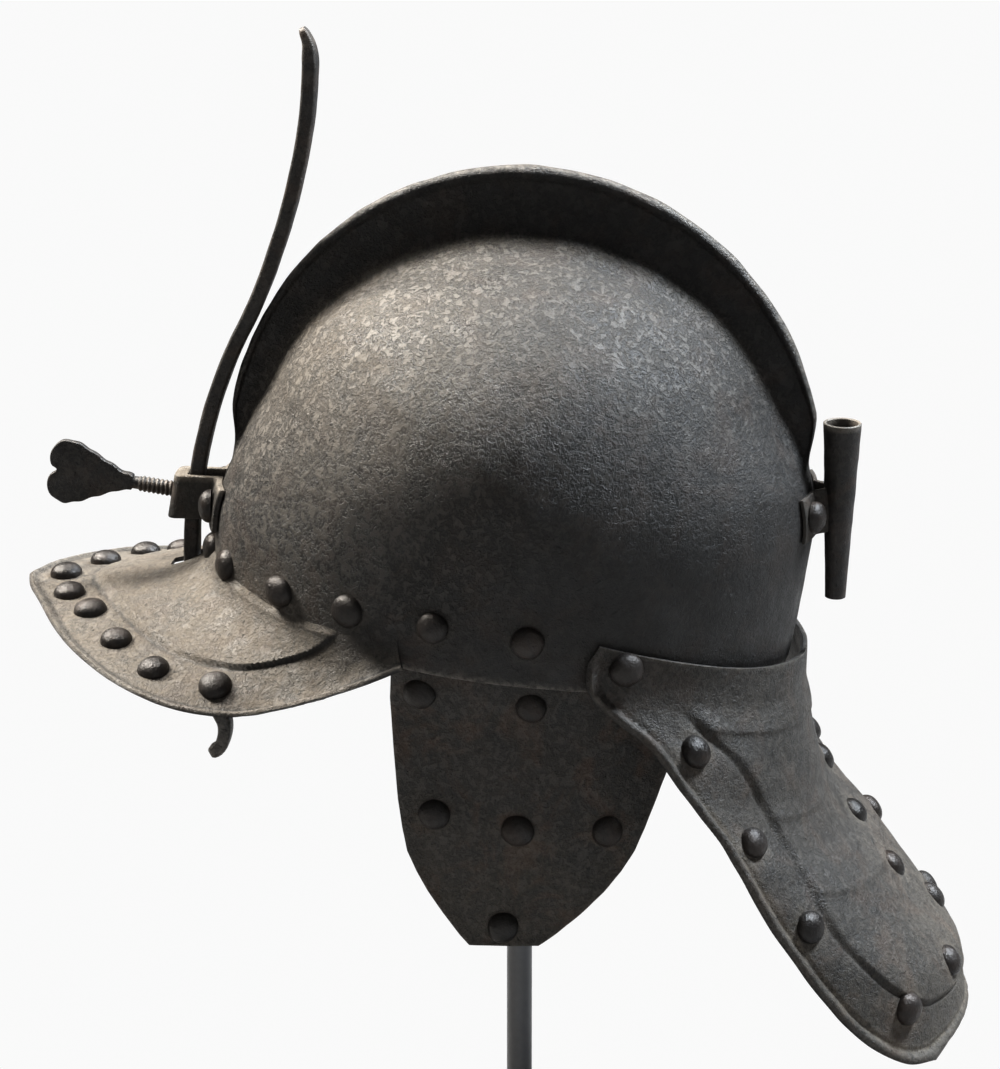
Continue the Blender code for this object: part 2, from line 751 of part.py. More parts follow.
def make_nasal_bar():
    """A flat bar bent along the face, tapered at its top."""
    line = bar_line()
    count = len(line)
    rings = []
    for index, point in enumerate(line):
        before, after = line[max(index - 1, 0)], line[min(index + 1, count - 1)]
        forward = (after - before) / np.linalg.norm(after - before)
        across = np.array((1.0, 0, 0))
        deep = np.cross(forward, across)
        taper = (0.55, 0.8, 1.0)[min(index, 2)]
        low = 1.0 if index < count - 3 else 0.85
        wide = BAR_WIDTH * 0.5 * taper * low
        thick = BAR_DEPTH * 0.5 * taper * low
        ring = []
        for a, b in BAR_SECTION:
            ring.append(point + across * wide * a + deep * thick * b)
        rings.append(ring)
    bar = loft("nasal_bar", rings)
    set_origin(bar, bar_centre() + np.array((0.0, 0.0, HELMET_LIFT)))
    return bar


def screw_axis():
    seat = to_metres(0.0, SCREW_SEAT[0], SCREW_SEAT[1])
    axis = np.array((0.0, -np.cos(SCREW_TILT), np.sin(SCREW_TILT)))
    return seat, axis


def make_bracket():
    """A U strap on two feet, bored for the screw."""
    low, high = BRACKET_HEIGHT
    strap_z = 0.5 * (low + high) * HELMET_RISE
    inner_x = BAR_WIDTH * 0.5 + BAR_GAP
    foot_x = (BRACKET_FOOT[0] * BOWL_HALF_WIDTH) + RIVET_RADIUS + 0.0022
    rows = np.linspace(low, high, 4)
    outside, inside = [], []
    for z in rows:
        height = z * HELMET_RISE
        front_y = bar_arc_y(strap_z) - BAR_DEPTH * 0.5 - BAR_GAP - 0.0001 + STRAP_TILT * (height - strap_z)
        front, back = [], []
        for x in np.linspace(foot_x, inner_x + STRAP_THICKNESS + 0.001, 4):
            wall = foot_wall(x, height, -1)
            back.append((x, wall - JOINT_GAP))
            front.append((x, wall - JOINT_GAP - STRAP_THICKNESS))
        back.append((inner_x + 0.0004, foot_wall(inner_x, height, -1) - JOINT_GAP))
        strap_y = foot_wall(inner_x, height, -1) - JOINT_GAP - STRAP_THICKNESS
        front.append((inner_x + STRAP_THICKNESS, strap_y))
        back.append((inner_x, strap_y))
        front.append((inner_x + STRAP_THICKNESS, front_y + 0.001))
        back.append((inner_x, front_y + 0.0012))
        front.append((inner_x + STRAP_THICKNESS, front_y - STRAP_FRONT + 0.002))
        back.append((inner_x - 0.0012, front_y))
        front.append((inner_x + STRAP_THICKNESS - 0.002, front_y - STRAP_FRONT))
        for sheet, half in ((outside, front), (inside, back)):
            whole = half + [(-x, y) for x, y in half[::-1]]
            sheet.append([(x, y, HELMET_LIFT + height) for x, y in whole])
    bracket = plate("nasal_bracket", np.array(outside), np.array(inside))
    seat, axis = screw_axis()
    bore_radius = SCREW_RADIUS + JOINT_GAP
    bore_profile = ((0.0, bore_radius), (0.05, bore_radius))
    bore = turned("bracket_bore", seat - axis * 0.02, axis, bore_profile, 20)
    boolean(bracket, bore, "DIFFERENCE")
    return bracket


def foot_wall(x, z, side):
    """The bowl's wall in Y at a distance from the middle plane, in metres from the helmet's middle."""
    start = np.array((x, BOWL_LEAN * min(z, 0.0), z))
    spread = np.array((0.0, float(side), 0.0))
    return (start + spread * reach(start, spread))[1]


def make_thumb_screw():
    """A threaded shank with a heart-shaped thumb plate in the middle plane."""
    bar_front = bar_arc_y(SCREW_SEAT[1] * HELMET_RISE) - BAR_DEPTH * 0.5
    seat, axis = screw_axis()
    start = seat.copy()
    start[1] = bar_front - JOINT_GAP
    start[2] = seat[2] + (start[1] - seat[1]) / axis[1] * axis[2]
    profile = [(0.0, SCREW_RADIUS * 0.8)]
    turns = int(SCREW_LENGTH / SCREW_PITCH)
    for turn in range(turns):
        profile.append(((turn + 0.25) * SCREW_PITCH, SCREW_RADIUS))
        profile.append(((turn + 0.75) * SCREW_PITCH, SCREW_RADIUS * 0.78))
    end = turns * SCREW_PITCH
    profile += [(end, SCREW_RADIUS * 0.9), (end + 0.004, SCREW_RADIUS * 0.85)]
    screw = turned("thumb_screw", start, axis, profile, 10)
    up = np.array((0.0, axis[2], -axis[1]))
    outline = (
        (0.00, 0.085), (0.12, 0.11), (0.28, 0.18), (0.46, 0.265), (0.66, 0.355), (0.80, 0.378),
        (0.92, 0.33), (0.985, 0.24), (1.0, 0.15), (0.975, 0.06), (0.90, 0.0),
    )
    outline += tuple((along, -across) for along, across in outline[-2::-1])
    base = start + axis * (end + 0.002)
    flat = [base + axis * along * HEART_LENGTH + up * across * HEART_LENGTH for along, across in outline]
    side = np.array((HEART_THICKNESS * 0.5, 0, 0))
    heart = loft("heart", [[point - side for point in flat], [point + side for point in flat]])
    boolean(screw, heart, "UNION")
    set_origin(screw, seat)
    return screw


def make_plume_holder():
    """A tapered tube, open at the top, on a saddle foot."""
    top = to_metres(0.0, *PLUME_TOP)
    bottom = to_metres(0.0, *PLUME_BOTTOM)
    axis = top - bottom
    length = np.linalg.norm(axis)
    profile = ((0.0, TUBE_BOTTOM_RADIUS), (length, TUBE_TOP_RADIUS))
    tube = turned("plume_holder", bottom, axis, profile, 24)
    foot_x, foot_z = PLUME_FOOT
    half = foot_x * BOWL_HALF_WIDTH + RIVET_RADIUS + 0.0018
    outside, inside = [], []
    for z in np.linspace(foot_z - 0.095, foot_z + 0.095, 3):
        height = z * HELMET_RISE
        front, back = [], []
        for x in np.linspace(-half, half, 9):
            wall = foot_wall(x, height, 1)
            bulge = 0.0045 if abs(x) < half * 0.2 else 0.0
            back.append((x, wall + JOINT_GAP * 1.5, HELMET_LIFT + height))
            front.append((x, wall + JOINT_GAP * 1.5 + 0.0016 + bulge, HELMET_LIFT + height))
        outside.append(front)
        inside.append(back)
    boolean(tube, plate("plume_foot", np.array(outside), np.array(inside)), "UNION")
    mouth = TUBE_TOP_RADIUS - TUBE_WALL + 0.0002
    bore_profile = ((0.006, TUBE_BOTTOM_RADIUS - TUBE_WALL), (length + 0.005, mouth))
    boolean(tube, turned("plume_bore", bottom, axis, bore_profile, 24), "DIFFERENCE")
    return tube


def make_joining_rivets():
    """The rivets that join one piece to another, each on its own plate."""
    for side in (1, -1):
        word = "left" if side > 0 else "right"
        mirror = np.array((side, 1, 1))
        x, z = BRACKET_FOOT
        metres = x * BOWL_HALF_WIDTH
        y = foot_wall(metres, z * HELMET_RISE, -1) - JOINT_GAP * 2 - STRAP_THICKNESS
        normal = np.array((0.12, -1.0, 0.0))
        centre = np.array((metres, y, HELMET_LIFT + z * HELMET_RISE)) + normal * 0.0006
        rivet(f"bracket_rivet_{word}", centre * mirror, normal * mirror, 0.0)
        x, z = PLUME_FOOT
        metres = x * BOWL_HALF_WIDTH
        y = foot_wall(metres, z * HELMET_RISE, 1) + JOINT_GAP * 3.0 + 0.0016
        normal = np.array((0.12, 1.0, 0.0))
        centre = np.array((metres, y, HELMET_LIFT + z * HELMET_RISE)) + normal * 0.0006
        rivet(f"plume_rivet_{word}", centre * mirror, normal * mirror, 0.0)
        centre, normal = pivot_place(side)
        pivot = rivet(f"neck_pivot_{word}", centre, normal, 0.0)
        shank = pivot_shank(f"shank_{word}", side, SHANK_RADIUS, pivot_depth(side))
        boolean(pivot, shank, "UNION")


def pivot_place(side):
    """The neck guard's side rivet: its centre just clear of the plate, and its direction."""
    across_places = side * np.linspace(0.8, 0.89, 10)
    best = min(
        ((along, across) for along in np.linspace(0.03, 0.14, 12) for across in across_places),
        key=lambda place: np.hypot(
            tail_point(*place)[1] - PIVOT[0] * BOWL_HALF_LENGTH,
            tail_point(*place)[2] - HELMET_LIFT - PIVOT[1] * HELMET_RISE,
        ),
    )
    along, across = best
    first = tail_point(along + 0.02, across) - tail_point(along - 0.02, across)
    second = tail_point(along, across + 0.02) - tail_point(along, across - 0.02)
    normal = np.cross(first, second)
    normal = normal / np.linalg.norm(normal)
    normal = normal if normal[0] * side > 0 else -normal
    centre = tail_point(along, across)
    near = [tail_point(a, c) for a in np.linspace(0.0, 0.2, 21) for c in side * np.linspace(0.7, 1.0, 21)]
    near = [point for point in near if np.linalg.norm(point - centre) < RIVET_RADIUS * 1.2]
    heights = [(point - centre) @ normal for point in near]
    return centre + normal * (max(heights) + JOINT_GAP), normal


def pivot_depth(side):
    """How far the side rivet's shank goes in, to just short of the bowl."""
    centre, normal = pivot_place(side)
    start = centre - np.array((0, 0, HELMET_LIFT))
    depths = np.linspace(0.0, 0.012, 241)
    inside = [inside_bowl(*(start - normal * depth)) < 1.0 for depth in depths]
    return depths[int(np.argmax(inside))] - JOINT_GAP


def pivot_shank(name, side, radius, depth):
    centre, normal = pivot_place(side)
    return turned(name, centre + normal * 0.0008, -normal, ((0.0, radius), (0.0008 + depth, radius)), 12)


def make_stand(skull):
    """A plain disc, pole and domed rest."""
    profile = ((0, BASE_RADIUS), (BASE_THICKNESS - 0.001, BASE_RADIUS), (BASE_THICKNESS, BASE_RADIUS - 0.001))
    turned("stand_base", (0, 0, 0), (0, 0, 1), profile, 48, STAND_STEEL)
    centre = np.array((0.0, 0.0, 0.0))
    crown = reach(centre, np.array((0.0, 0.0, 1.0))) - SKULL_PLATE
    ceiling = BVHTree.FromObject(skull, bpy.context.evaluated_depsgraph_get())
    rest_foot = HELMET_LIFT + crown - REST_THICKNESS - 0.007
    pole = ((0, POLE_RADIUS), (rest_foot - BASE_THICKNESS - 2 * JOINT_GAP, POLE_RADIUS))
    turned("stand_pole", (0, 0, BASE_THICKNESS + JOINT_GAP), (0, 0, 1), pole, 20, STAND_STEEL)
    rings = []
    for height, radius in ((0.0, POLE_RADIUS * 1.9), (0.006, POLE_RADIUS * 2.1), (0.007, REST_RADIUS)):
        rings.append([(*spot, rest_foot + height) for spot in ring_of(radius)])
    for share in (1.0, 0.88, 0.7, 0.45, 0.15):
        rings.append([(*spot, rest_height(ceiling, *spot)) for spot in ring_of(REST_RADIUS * share)])
    loft("stand_rest", [[np.array(point) for point in ring] for ring in rings], STAND_STEEL)


def ring_of(radius):
    """Places around a level circle."""
    angles = np.linspace(0, 2 * np.pi, 24, endpoint=False)
    return [(radius * np.cos(angle), radius * np.sin(angle)) for angle in angles]


def rest_height(ceiling, x, y):
    """The rest's top at a place, just under the inside of the bowl."""
    hit = ceiling.ray_cast(Vector((x, y, HELMET_LIFT)), Vector((0.0, 0.0, 1.0)))[0]
    above = reach(np.array((x, y, 0.0)), np.array((0.0, 0.0, 1.0)))
    return min(hit.z, HELMET_LIFT + above - SKULL_PLATE) - REST_SEAT


def main():
    clear_scene()
    skull = make_skull()
    make_neck_guard()
    make_cheek_piece(1)
    make_cheek_piece(-1)
    make_nasal_bar()
    make_bracket()
    make_thumb_screw()
    make_plume_holder()
    make_joining_rivets()
    make_stand(skull)


main()
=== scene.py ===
"""The lobster-tail pot helmet, dressed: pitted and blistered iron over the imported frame."""

from __future__ import annotations

import logging
import math
from dataclasses import dataclass, field
from enum import Enum
from typing import Callable, Iterable, Sequence

import bmesh
import bpy
import numpy as np
from mathutils import Matrix, Vector, kdtree

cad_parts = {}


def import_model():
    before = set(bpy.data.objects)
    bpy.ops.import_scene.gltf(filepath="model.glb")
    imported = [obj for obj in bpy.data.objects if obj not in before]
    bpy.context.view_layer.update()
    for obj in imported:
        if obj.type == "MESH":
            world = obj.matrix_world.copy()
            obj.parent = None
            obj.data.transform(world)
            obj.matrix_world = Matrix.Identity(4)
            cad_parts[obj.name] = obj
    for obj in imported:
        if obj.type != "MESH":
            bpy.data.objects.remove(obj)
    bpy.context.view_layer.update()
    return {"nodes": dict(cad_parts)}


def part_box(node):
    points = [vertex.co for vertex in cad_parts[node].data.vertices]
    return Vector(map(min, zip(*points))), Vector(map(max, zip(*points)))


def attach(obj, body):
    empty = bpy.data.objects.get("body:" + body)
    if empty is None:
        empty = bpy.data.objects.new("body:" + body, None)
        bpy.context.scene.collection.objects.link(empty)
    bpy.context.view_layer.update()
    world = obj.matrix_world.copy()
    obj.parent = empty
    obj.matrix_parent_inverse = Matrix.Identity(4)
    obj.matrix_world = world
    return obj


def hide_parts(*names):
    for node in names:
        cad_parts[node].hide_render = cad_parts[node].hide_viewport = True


LOG = logging.getLogger("helmet")
Array = np.ndarray
Triple = tuple[float, float, float]

# Shared helmet sizes in millimetres, from the helmet's middle.
LIFT = 300.0
PLATE = 1.8
GAP = 0.4
SCREW_SEAT = (0.0, -139.0, -14.6)
SCREW_TILT = 0.135


class Body(Enum):
    """The bodies of the frame that a piece can ride on."""

    HELMET = "helmet"
    BAR = "face_bar"
    SCREW = "clamp_screw"


class Slot(Enum):
    """The material slots."""

    IRON = "iron"
    RIVETS = "rivets"
    STAND = "stand"


def metres(points: Array) -> Array:
    """Turns helmet millimetres into scene metres.

    Args:
        points: Places (..., 3) in millimetres from the helmet's middle.

    Returns:
        The same places in metres in the frame.
    """
    return (np.asarray(points, float) + np.array((0.0, 0.0, LIFT))) * 0.001


def smooth(value: Array | float) -> Array:
    """The soft step of a value held between 0 and 1."""
    held = np.clip(value, 0.0, 1.0)
    return held * held * (3.0 - 2.0 * held)


def flowing(places: Array, knots: Array, values: Array) -> Array:
    """Reads a table with a smooth curve through its rows.

    Args:
        places: Where to read.
        knots: The rows' places, rising.
        values: The rows' numbers.

    Returns:
        One number for each place.
    """
    knots, values = np.asarray(knots, float), np.asarray(values, float)
    steps = np.diff(knots)
    rises = np.diff(values) / steps
    slopes = np.empty(len(values))
    slopes[0], slopes[-1] = rises[0], rises[-1]
    slopes[1:-1] = (rises[:-1] * steps[1:] + rises[1:] * steps[:-1]) / (steps[:-1] + steps[1:])
    row = np.clip(np.searchsorted(knots, places, side="right") - 1, 0, len(knots) - 2)
    step = steps[row]
    t = np.clip((places - knots[row]) / step, 0.0, 1.0)
    start, end = values[row], values[row + 1]
    return (
        start * (2 * t**3 - 3 * t**2 + 1)
        + slopes[row] * step * (t**3 - 2 * t**2 + t)
        + end * (3 * t**2 - 2 * t**3)
        + slopes[row + 1] * step * (t**3 - t**2)
    )


def grid_normals(sheet: Array) -> Array:
    """Unit normals of a sheet of points (rows, columns, 3)."""
    normals = np.cross(np.gradient(sheet, axis=0), np.gradient(sheet, axis=1))
    return normals / np.maximum(np.linalg.norm(normals, axis=2, keepdims=True), 1e-12)


def calmed(normals: Array, passes: int) -> Array:
    """Unit normals averaged with their neighbours a number of times."""
    for _ in range(passes):
        wide = np.pad(normals, ((1, 1), (1, 1), (0, 0)), mode="edge")
        near = wide[:-2, 1:-1] + wide[2:, 1:-1] + wide[1:-1, :-2] + wide[1:-1, 2:]
        normals = normals + 0.25 * near
        normals = normals / np.linalg.norm(normals, axis=2, keepdims=True)
    return normals


def unevenness(points: Array, span: float, seed: int) -> Array:
    """Soft hand-made unevenness from a few crossing waves.

    Args:
        points: Places (..., 3) in millimetres.
        span: The size of one swell in millimetres.
        seed: Which set of waves.

    Returns:
        Heights between about -1 and 1.
    """
    rng = np.random.default_rng(seed)
    total = np.zeros(points.shape[:-1])
    for _ in range(9):
        way = rng.normal(size=3)
        way *= (2 * math.pi / (span * rng.uniform(0.7, 1.6))) / np.linalg.norm(way)
        total += np.sin(points @ way + rng.uniform(0, 2 * math.pi))
    return total / 4.5


# ---------------------------------------------------------------------------
# Modelling by hand: the operators that every piece shares


def deselect() -> None:
    """Clears the selection, which the frame leaves on its nodes."""
    if bpy.context.object and bpy.context.object.mode != "OBJECT":
        bpy.ops.object.mode_set(mode="OBJECT")
    bpy.ops.object.select_all(action="DESELECT")


def choose(piece: bpy.types.Object) -> None:
    """Makes one piece the only one selected and active."""
    deselect()
    piece.select_set(True)
    bpy.context.view_layer.objects.active = piece


def named(name: str) -> bpy.types.Object:
    """Names the piece that an operator has just added."""
    piece = bpy.context.object
    piece.name = name
    piece.data.name = name
    return piece


def settle(piece: bpy.types.Object) -> None:
    """Puts a piece's place, turn and size into its mesh."""
    choose(piece)
    bpy.ops.object.transform_apply(location=True, rotation=True, scale=True)


def apply(piece: bpy.types.Object, kind: str, **settings: object) -> None:
    """Adds one modifier and applies it.

    Args:
        piece: The piece to change.
        kind: The modifier's type.
        settings: Its settings by name.
    """
    choose(piece)
    modifier = piece.modifiers.new(kind.lower(), kind)
    for key, value in settings.items():
        setattr(modifier, key, value)
    bpy.ops.object.modifier_apply(modifier=modifier.name)


def rounded(piece: bpy.types.Object, width: float, segments: int, degrees: float) -> None:
    """Rounds every edge that is sharper than an angle."""
    limit = math.radians(degrees)
    apply(piece, "BEVEL", width=width, segments=segments, limit_method="ANGLE", angle_limit=limit)


def cut(piece: bpy.types.Object, cutter: bpy.types.Object) -> None:
    """Cuts one piece with another, which is then removed."""
    settle(cutter)
    apply(piece, "BOOLEAN", object=cutter, operation="DIFFERENCE", solver="EXACT")
    bpy.data.objects.remove(cutter, do_unlink=True)


def woven(name: str, sheet: Array, closed: bool = False, ends: bool = False) -> bpy.types.Object:
    """A grid laid over a sheet of points, closed round a tube where asked.

    Args:
        name: The piece's name.
        sheet: Points (rows, columns, 3) in millimetres.
        closed: Whether the last column meets the first.
        ends: Whether the first and last rows are filled.

    Returns:
        The piece, with its faces outwards where it is closed.
    """
    if closed:
        sheet = np.concatenate([sheet, sheet[:, :1]], axis=1)
    rows, columns = sheet.shape[:2]
    deselect()
    bpy.ops.mesh.primitive_grid_add(x_subdivisions=columns - 1, y_subdivisions=rows - 1, size=1)
    piece = named(name)
    piece.data.vertices.foreach_set("co", metres(sheet).astype(np.float32).ravel())
    bpy.ops.object.mode_set(mode="EDIT")
    bpy.ops.mesh.select_all(action="SELECT")
    if closed:
        bpy.ops.mesh.remove_doubles(threshold=1e-6)
    if ends:
        bpy.ops.mesh.select_all(action="DESELECT")
        bpy.ops.mesh.select_mode(type="EDGE")
        bpy.ops.mesh.select_non_manifold(extend=False, use_wire=False, use_multi_face=False)
        bpy.ops.mesh.edge_face_add()
        bpy.ops.mesh.select_mode(type="VERT")
        bpy.ops.mesh.select_all(action="SELECT")
    if closed:
        bpy.ops.mesh.normals_make_consistent(inside=False)
    bpy.ops.object.mode_set(mode="OBJECT")
    piece.data.update()
    return piece


def face_outwards(piece: bpy.types.Object, outward: Callable[[Array], Array]) -> None:
    """Turns an open sheet round where most of its faces point in.

    Args:
        piece: The open sheet.
        outward: Gives the outward way at points in metres.
    """
    count = len(piece.data.polygons)
    normals, centres = np.empty(count * 3), np.empty(count * 3)
    piece.data.polygons.foreach_get("normal", normals)
    piece.data.polygons.foreach_get("center", centres)
    ways = outward(centres.reshape(-1, 3))
    if np.median((normals.reshape(-1, 3) * ways).sum(axis=1)) < 0:
        choose(piece)
        bpy.ops.object.mode_set(mode="EDIT")
        bpy.ops.mesh.select_all(action="SELECT")
        bpy.ops.mesh.flip_normals()
        bpy.ops.object.mode_set(mode="OBJECT")


def soften(piece: bpy.types.Object, degrees: float = 42.0) -> None:
    """Shades a piece smooth, with edges over an angle kept sharp."""
    choose(piece)
    bpy.ops.object.shade_smooth_by_angle(angle=math.radians(degrees))


def places_of(piece: bpy.types.Object) -> tuple[Array, Array]:
    """A piece's points in helmet millimetres and their normals."""
    count = len(piece.data.vertices)
    points, normals = np.empty(count * 3), np.empty(count * 3)
    piece.data.vertices.foreach_get("co", points)
    piece.data.vertices.foreach_get("normal", normals)
    return points.reshape(-1, 3) * 1000 - np.array((0, 0, LIFT)), normals.reshape(-1, 3)


def paint(piece: bpy.types.Object, layer: str, amounts: Array) -> None:
    """Stores one number a point for the finish to read.

    Args:
        piece: The piece to paint.
        layer: The attribute's name.
        amounts: One number for each point.
    """
    made = piece.data.attributes.new(layer, "FLOAT", "POINT")
    made.data.foreach_set("value", np.clip(amounts, 0, 1).astype(np.float32))


def nearness(points: Array, marks: Array, width: float) -> Array:
    """How near each point lies to the nearest mark: 1 on it, 0 at the width.

    Args:
        points: Places in millimetres.
        marks: The marks' places.
        width: The distance where nothing is left.

    Returns:
        One number for each point.
    """
    return np.clip(1 - distances(points, marks) / width, 0, 1)


def rolled(away: Array, width: float) -> Array:
    """The round back of an edge's roll, from 0 at the edge through 1 to 0 at its width."""
    return np.sin(np.pi * np.clip(away / width, 0, 1)) ** 0.8


def distances(points: Array, marks: Array) -> Array:
    """The distance from each point to the nearest mark, in millimetres."""
    tree = kdtree.KDTree(len(marks))
    for index, mark in enumerate(marks):
        tree.insert(mark, index)
    tree.balance()
    return np.array([tree.find(point)[2] for point in points])


# ---------------------------------------------------------------------------
# Finishes


class Graph:
    """A small hand for laying shader nodes."""

    def __init__(self, name: str) -> None:
        """Starts a material with an empty shader.

        Args:
            name: The material's name.
        """
        self.material = bpy.data.materials.new(name)
        self.material.use_nodes = True
        self.nodes = self.material.node_tree.nodes
        self.links = self.material.node_tree.links
        self.shader = self.nodes["Principled BSDF"]
        self.place = self.nodes.new("ShaderNodeTexCoord").outputs["Object"]

    def put(self, value: object, socket: bpy.types.NodeSocket) -> None:
        """Links or sets one input."""
        if isinstance(value, bpy.types.NodeSocket):
            self.links.new(value, socket)
        else:
            socket.default_value = value

    def noise(
        self,
        scale: float,
        detail: float = 4.0,
        rough: float = 0.55,
        twist: float = 0.0,
    ) -> object:
        """Noise over the piece, scale per metre."""
        node = self.nodes.new("ShaderNodeTexNoise")
        self.put(self.place, node.inputs["Vector"])
        settings = {"Scale": scale, "Detail": detail, "Roughness": rough, "Distortion": twist}
        for key, value in settings.items():
            node.inputs[key].default_value = value
        return node.outputs["Fac"]

    def layer(self, name: str) -> object:
        """A painted layer of the piece."""
        node = self.nodes.new("ShaderNodeAttribute")
        node.attribute_name = name
        return node.outputs["Fac"]

    def span(
        self,
        value: object,
        low: float,
        high: float,
        start: float = 0.0,
        end: float = 1.0,
    ) -> object:
        """Maps a range of a value to another, softly and held."""
        node = self.nodes.new("ShaderNodeMapRange")
        node.interpolation_type = "SMOOTHSTEP"
        self.put(value, node.inputs["Value"])
        settings = {"From Min": low, "From Max": high, "To Min": start, "To Max": end}
        for key, number in settings.items():
            node.inputs[key].default_value = number
        return node.outputs["Result"]

    def calc(self, how: str, first: object, second: object) -> object:
        """One step of arithmetic, such as ADD or MULTIPLY."""
        node = self.nodes.new("ShaderNodeMath")
        node.operation = how
        self.put(first, node.inputs[0])
        self.put(second, node.inputs[1])
        return node.outputs[0]

    def blend(self, amount: object, first: object, second: object) -> object:
        """Mixes two colours."""
        node = self.nodes.new("ShaderNodeMix")
        node.data_type = "RGBA"
        self.put(amount, node.inputs["Factor"])
        self.put(first, node.inputs[6])
        self.put(second, node.inputs[7])
        return node.outputs[2]

    def bump(self, height: object, distance: float, strength: float, under: object = None) -> object:
        """Raises the surface by a height in metres."""
        node = self.nodes.new("ShaderNodeBump")
        node.inputs["Distance"].default_value = distance
        node.inputs["Strength"].default_value = strength
        self.put(height, node.inputs["Height"])
        if under is not None:
            self.put(under, node.inputs["Normal"])
        return node.outputs["Normal"]


Colour = tuple[float, float, float, float]


def tone(red: float, green: float, blue: float) -> Colour:
    """A colour as the shader takes it."""
    return (red, green, blue, 1.0)


@dataclass(frozen=True)
class IronFinish:
    """Old patinated iron: mottled, pitted and blistered, dusty in its corners and worn at its edges, with
    painted shade darkening its turned-away and tucked-under parts.
    """

    name: str
    deep: Colour = tone(0.0055, 0.0048, 0.0048)
    middle: Colour = tone(0.016, 0.0142, 0.0135)
    rust: Colour = tone(0.052, 0.029, 0.018)
    dust: Colour = tone(0.205, 0.175, 0.138)
    worn: Colour = tone(0.250, 0.225, 0.195)
    rusty: float = 0.25
    dusty: float = 0.03
    metallic: float = 0.15
    gloss: float = 0.72
    rough: float = 0.50
    grain: float = 0.5
    blisters: float = 0.9
    pits: float = 0.5

    def build(self) -> bpy.types.Material:
        """Lays the finish's nodes.

        Returns:
            The material.
        """
        g = Graph(self.name)
        broad = g.noise(26.0, 5.0, 0.6, 0.4)
        patches = g.noise(95.0, 6.0, 0.62, 0.2)
        fine = g.noise(560.0, 5.0, 0.68)
        grit = g.noise(1500.0, 3.0, 0.6)
        colour = g.blend(g.span(broad, 0.36, 0.66), self.deep, self.middle)
        colour = g.blend(g.calc("MULTIPLY", g.span(patches, 0.35, 0.75), 0.6), colour, self.middle)
        stains = g.span(g.noise(55.0, 6.0, 0.65, 0.6), 0.46, 0.66)
        rust = g.calc("MULTIPLY", stains, g.calc("ADD", g.layer("rust"), self.rusty))
        colour = g.blend(g.calc("MINIMUM", rust, 1.0), colour, self.rust)
        dust = g.calc("ADD", g.layer("dust"), self.dusty)
        dust = g.calc("MULTIPLY", dust, g.span(fine, 0.30, 0.66, 0.35, 1.0))
        dust = g.calc("MULTIPLY", dust, g.span(patches, 0.28, 0.62, 0.45, 1.0))
        colour = g.blend(g.calc("MINIMUM", dust, 0.92), colour, self.dust)
        # Painted shade: this layer darkens the colour towards the deep tone where a piece turns from the
        # lamps or lies under another part; where it is even, it stands for real grime.
        painted_shade_and_grime = g.calc("MULTIPLY", g.layer("painted_shade_and_grime"), g.span(fine, 0.2, 0.7, 0.75, 1.0))
        colour = g.blend(g.calc("MINIMUM", painted_shade_and_grime, 0.9), colour, self.deep)
        islands = g.span(g.noise(330.0, 4.0, 0.66, 0.5), 0.50, 0.55)
        crumbs = g.span(g.noise(900.0, 3.0, 0.6), 0.49, 0.58)
        flakes = g.calc("MAXIMUM", islands, g.calc("MULTIPLY", crumbs, 0.55))
        flakes = g.calc("MULTIPLY", flakes, g.calc("MINIMUM", g.calc("ADD", g.layer("flake"), 0.08), 1.0))
        colour = g.blend(g.calc("MULTIPLY", flakes, 0.30), colour, self.worn)
        holes = g.span(g.noise(420.0, 2.0, 0.5), 0.36, 0.24)
        colour = g.blend(g.calc("MULTIPLY", holes, 0.55), colour, self.deep)
        rubbed = g.span(g.noise(300.0, 5.0, 0.7), 0.36, 0.62, 0.15, 1.0)
        wear = g.calc("MULTIPLY", g.layer("wear"), rubbed)
        colour = g.blend(g.calc("MULTIPLY", wear, 0.75), colour, self.worn)
        g.put(colour, g.shader.inputs["Base Color"])
        g.shader.inputs["Metallic"].default_value = self.metallic
        g.shader.inputs["Specular IOR Level"].default_value = self.gloss
        roughness = g.span(patches, 0.3, 0.7, self.rough - 0.09, self.rough + 0.10)
        roughness = g.calc("ADD", roughness, g.calc("MULTIPLY", g.span(grit, 0.3, 0.7), 0.10))
        roughness = g.calc("SUBTRACT", roughness, g.calc("MULTIPLY", wear, 0.14))
        roughness = g.calc("MINIMUM", g.calc("ADD", roughness, g.calc("MULTIPLY", dust, 0.22)), 0.92)
        g.put(roughness, g.shader.inputs["Roughness"])
        under = g.bump(g.noise(150.0, 5.0, 0.62), 0.0022, self.grain * 0.55)
        under = g.bump(g.calc("ADD", fine, g.calc("MULTIPLY", grit, 0.4)), 0.0010, self.grain, under)
        under = g.bump(holes, 0.0006, self.pits, under)
        under = g.bump(flakes, 0.0011, self.blisters, under)
        g.put(under, g.shader.inputs["Normal"])
        return g.material


@dataclass(frozen=True)
class SteelFinish:
    """Grey satin steel of the stand."""

    name: str
    base: Colour = tone(0.16, 0.16, 0.165)
    rough: float = 0.42

    def build(self) -> bpy.types.Material:
        """Lays the finish's nodes.

        Returns:
            The material.
        """
        g = Graph(self.name)
        marks = g.noise(240.0, 4.0, 0.6)
        colour = g.blend(g.span(marks, 0.35, 0.7, 0.0, 0.4), self.base, tone(0.22, 0.22, 0.22))
        g.put(colour, g.shader.inputs["Base Color"])
        g.shader.inputs["Metallic"].default_value = 0.55
        g.put(g.span(marks, 0.3, 0.7, self.rough - 0.05, self.rough + 0.1), g.shader.inputs["Roughness"])
        g.put(g.bump(g.noise(1400.0, 2.0), 0.0001, 0.25), g.shader.inputs["Normal"])
        return g.material


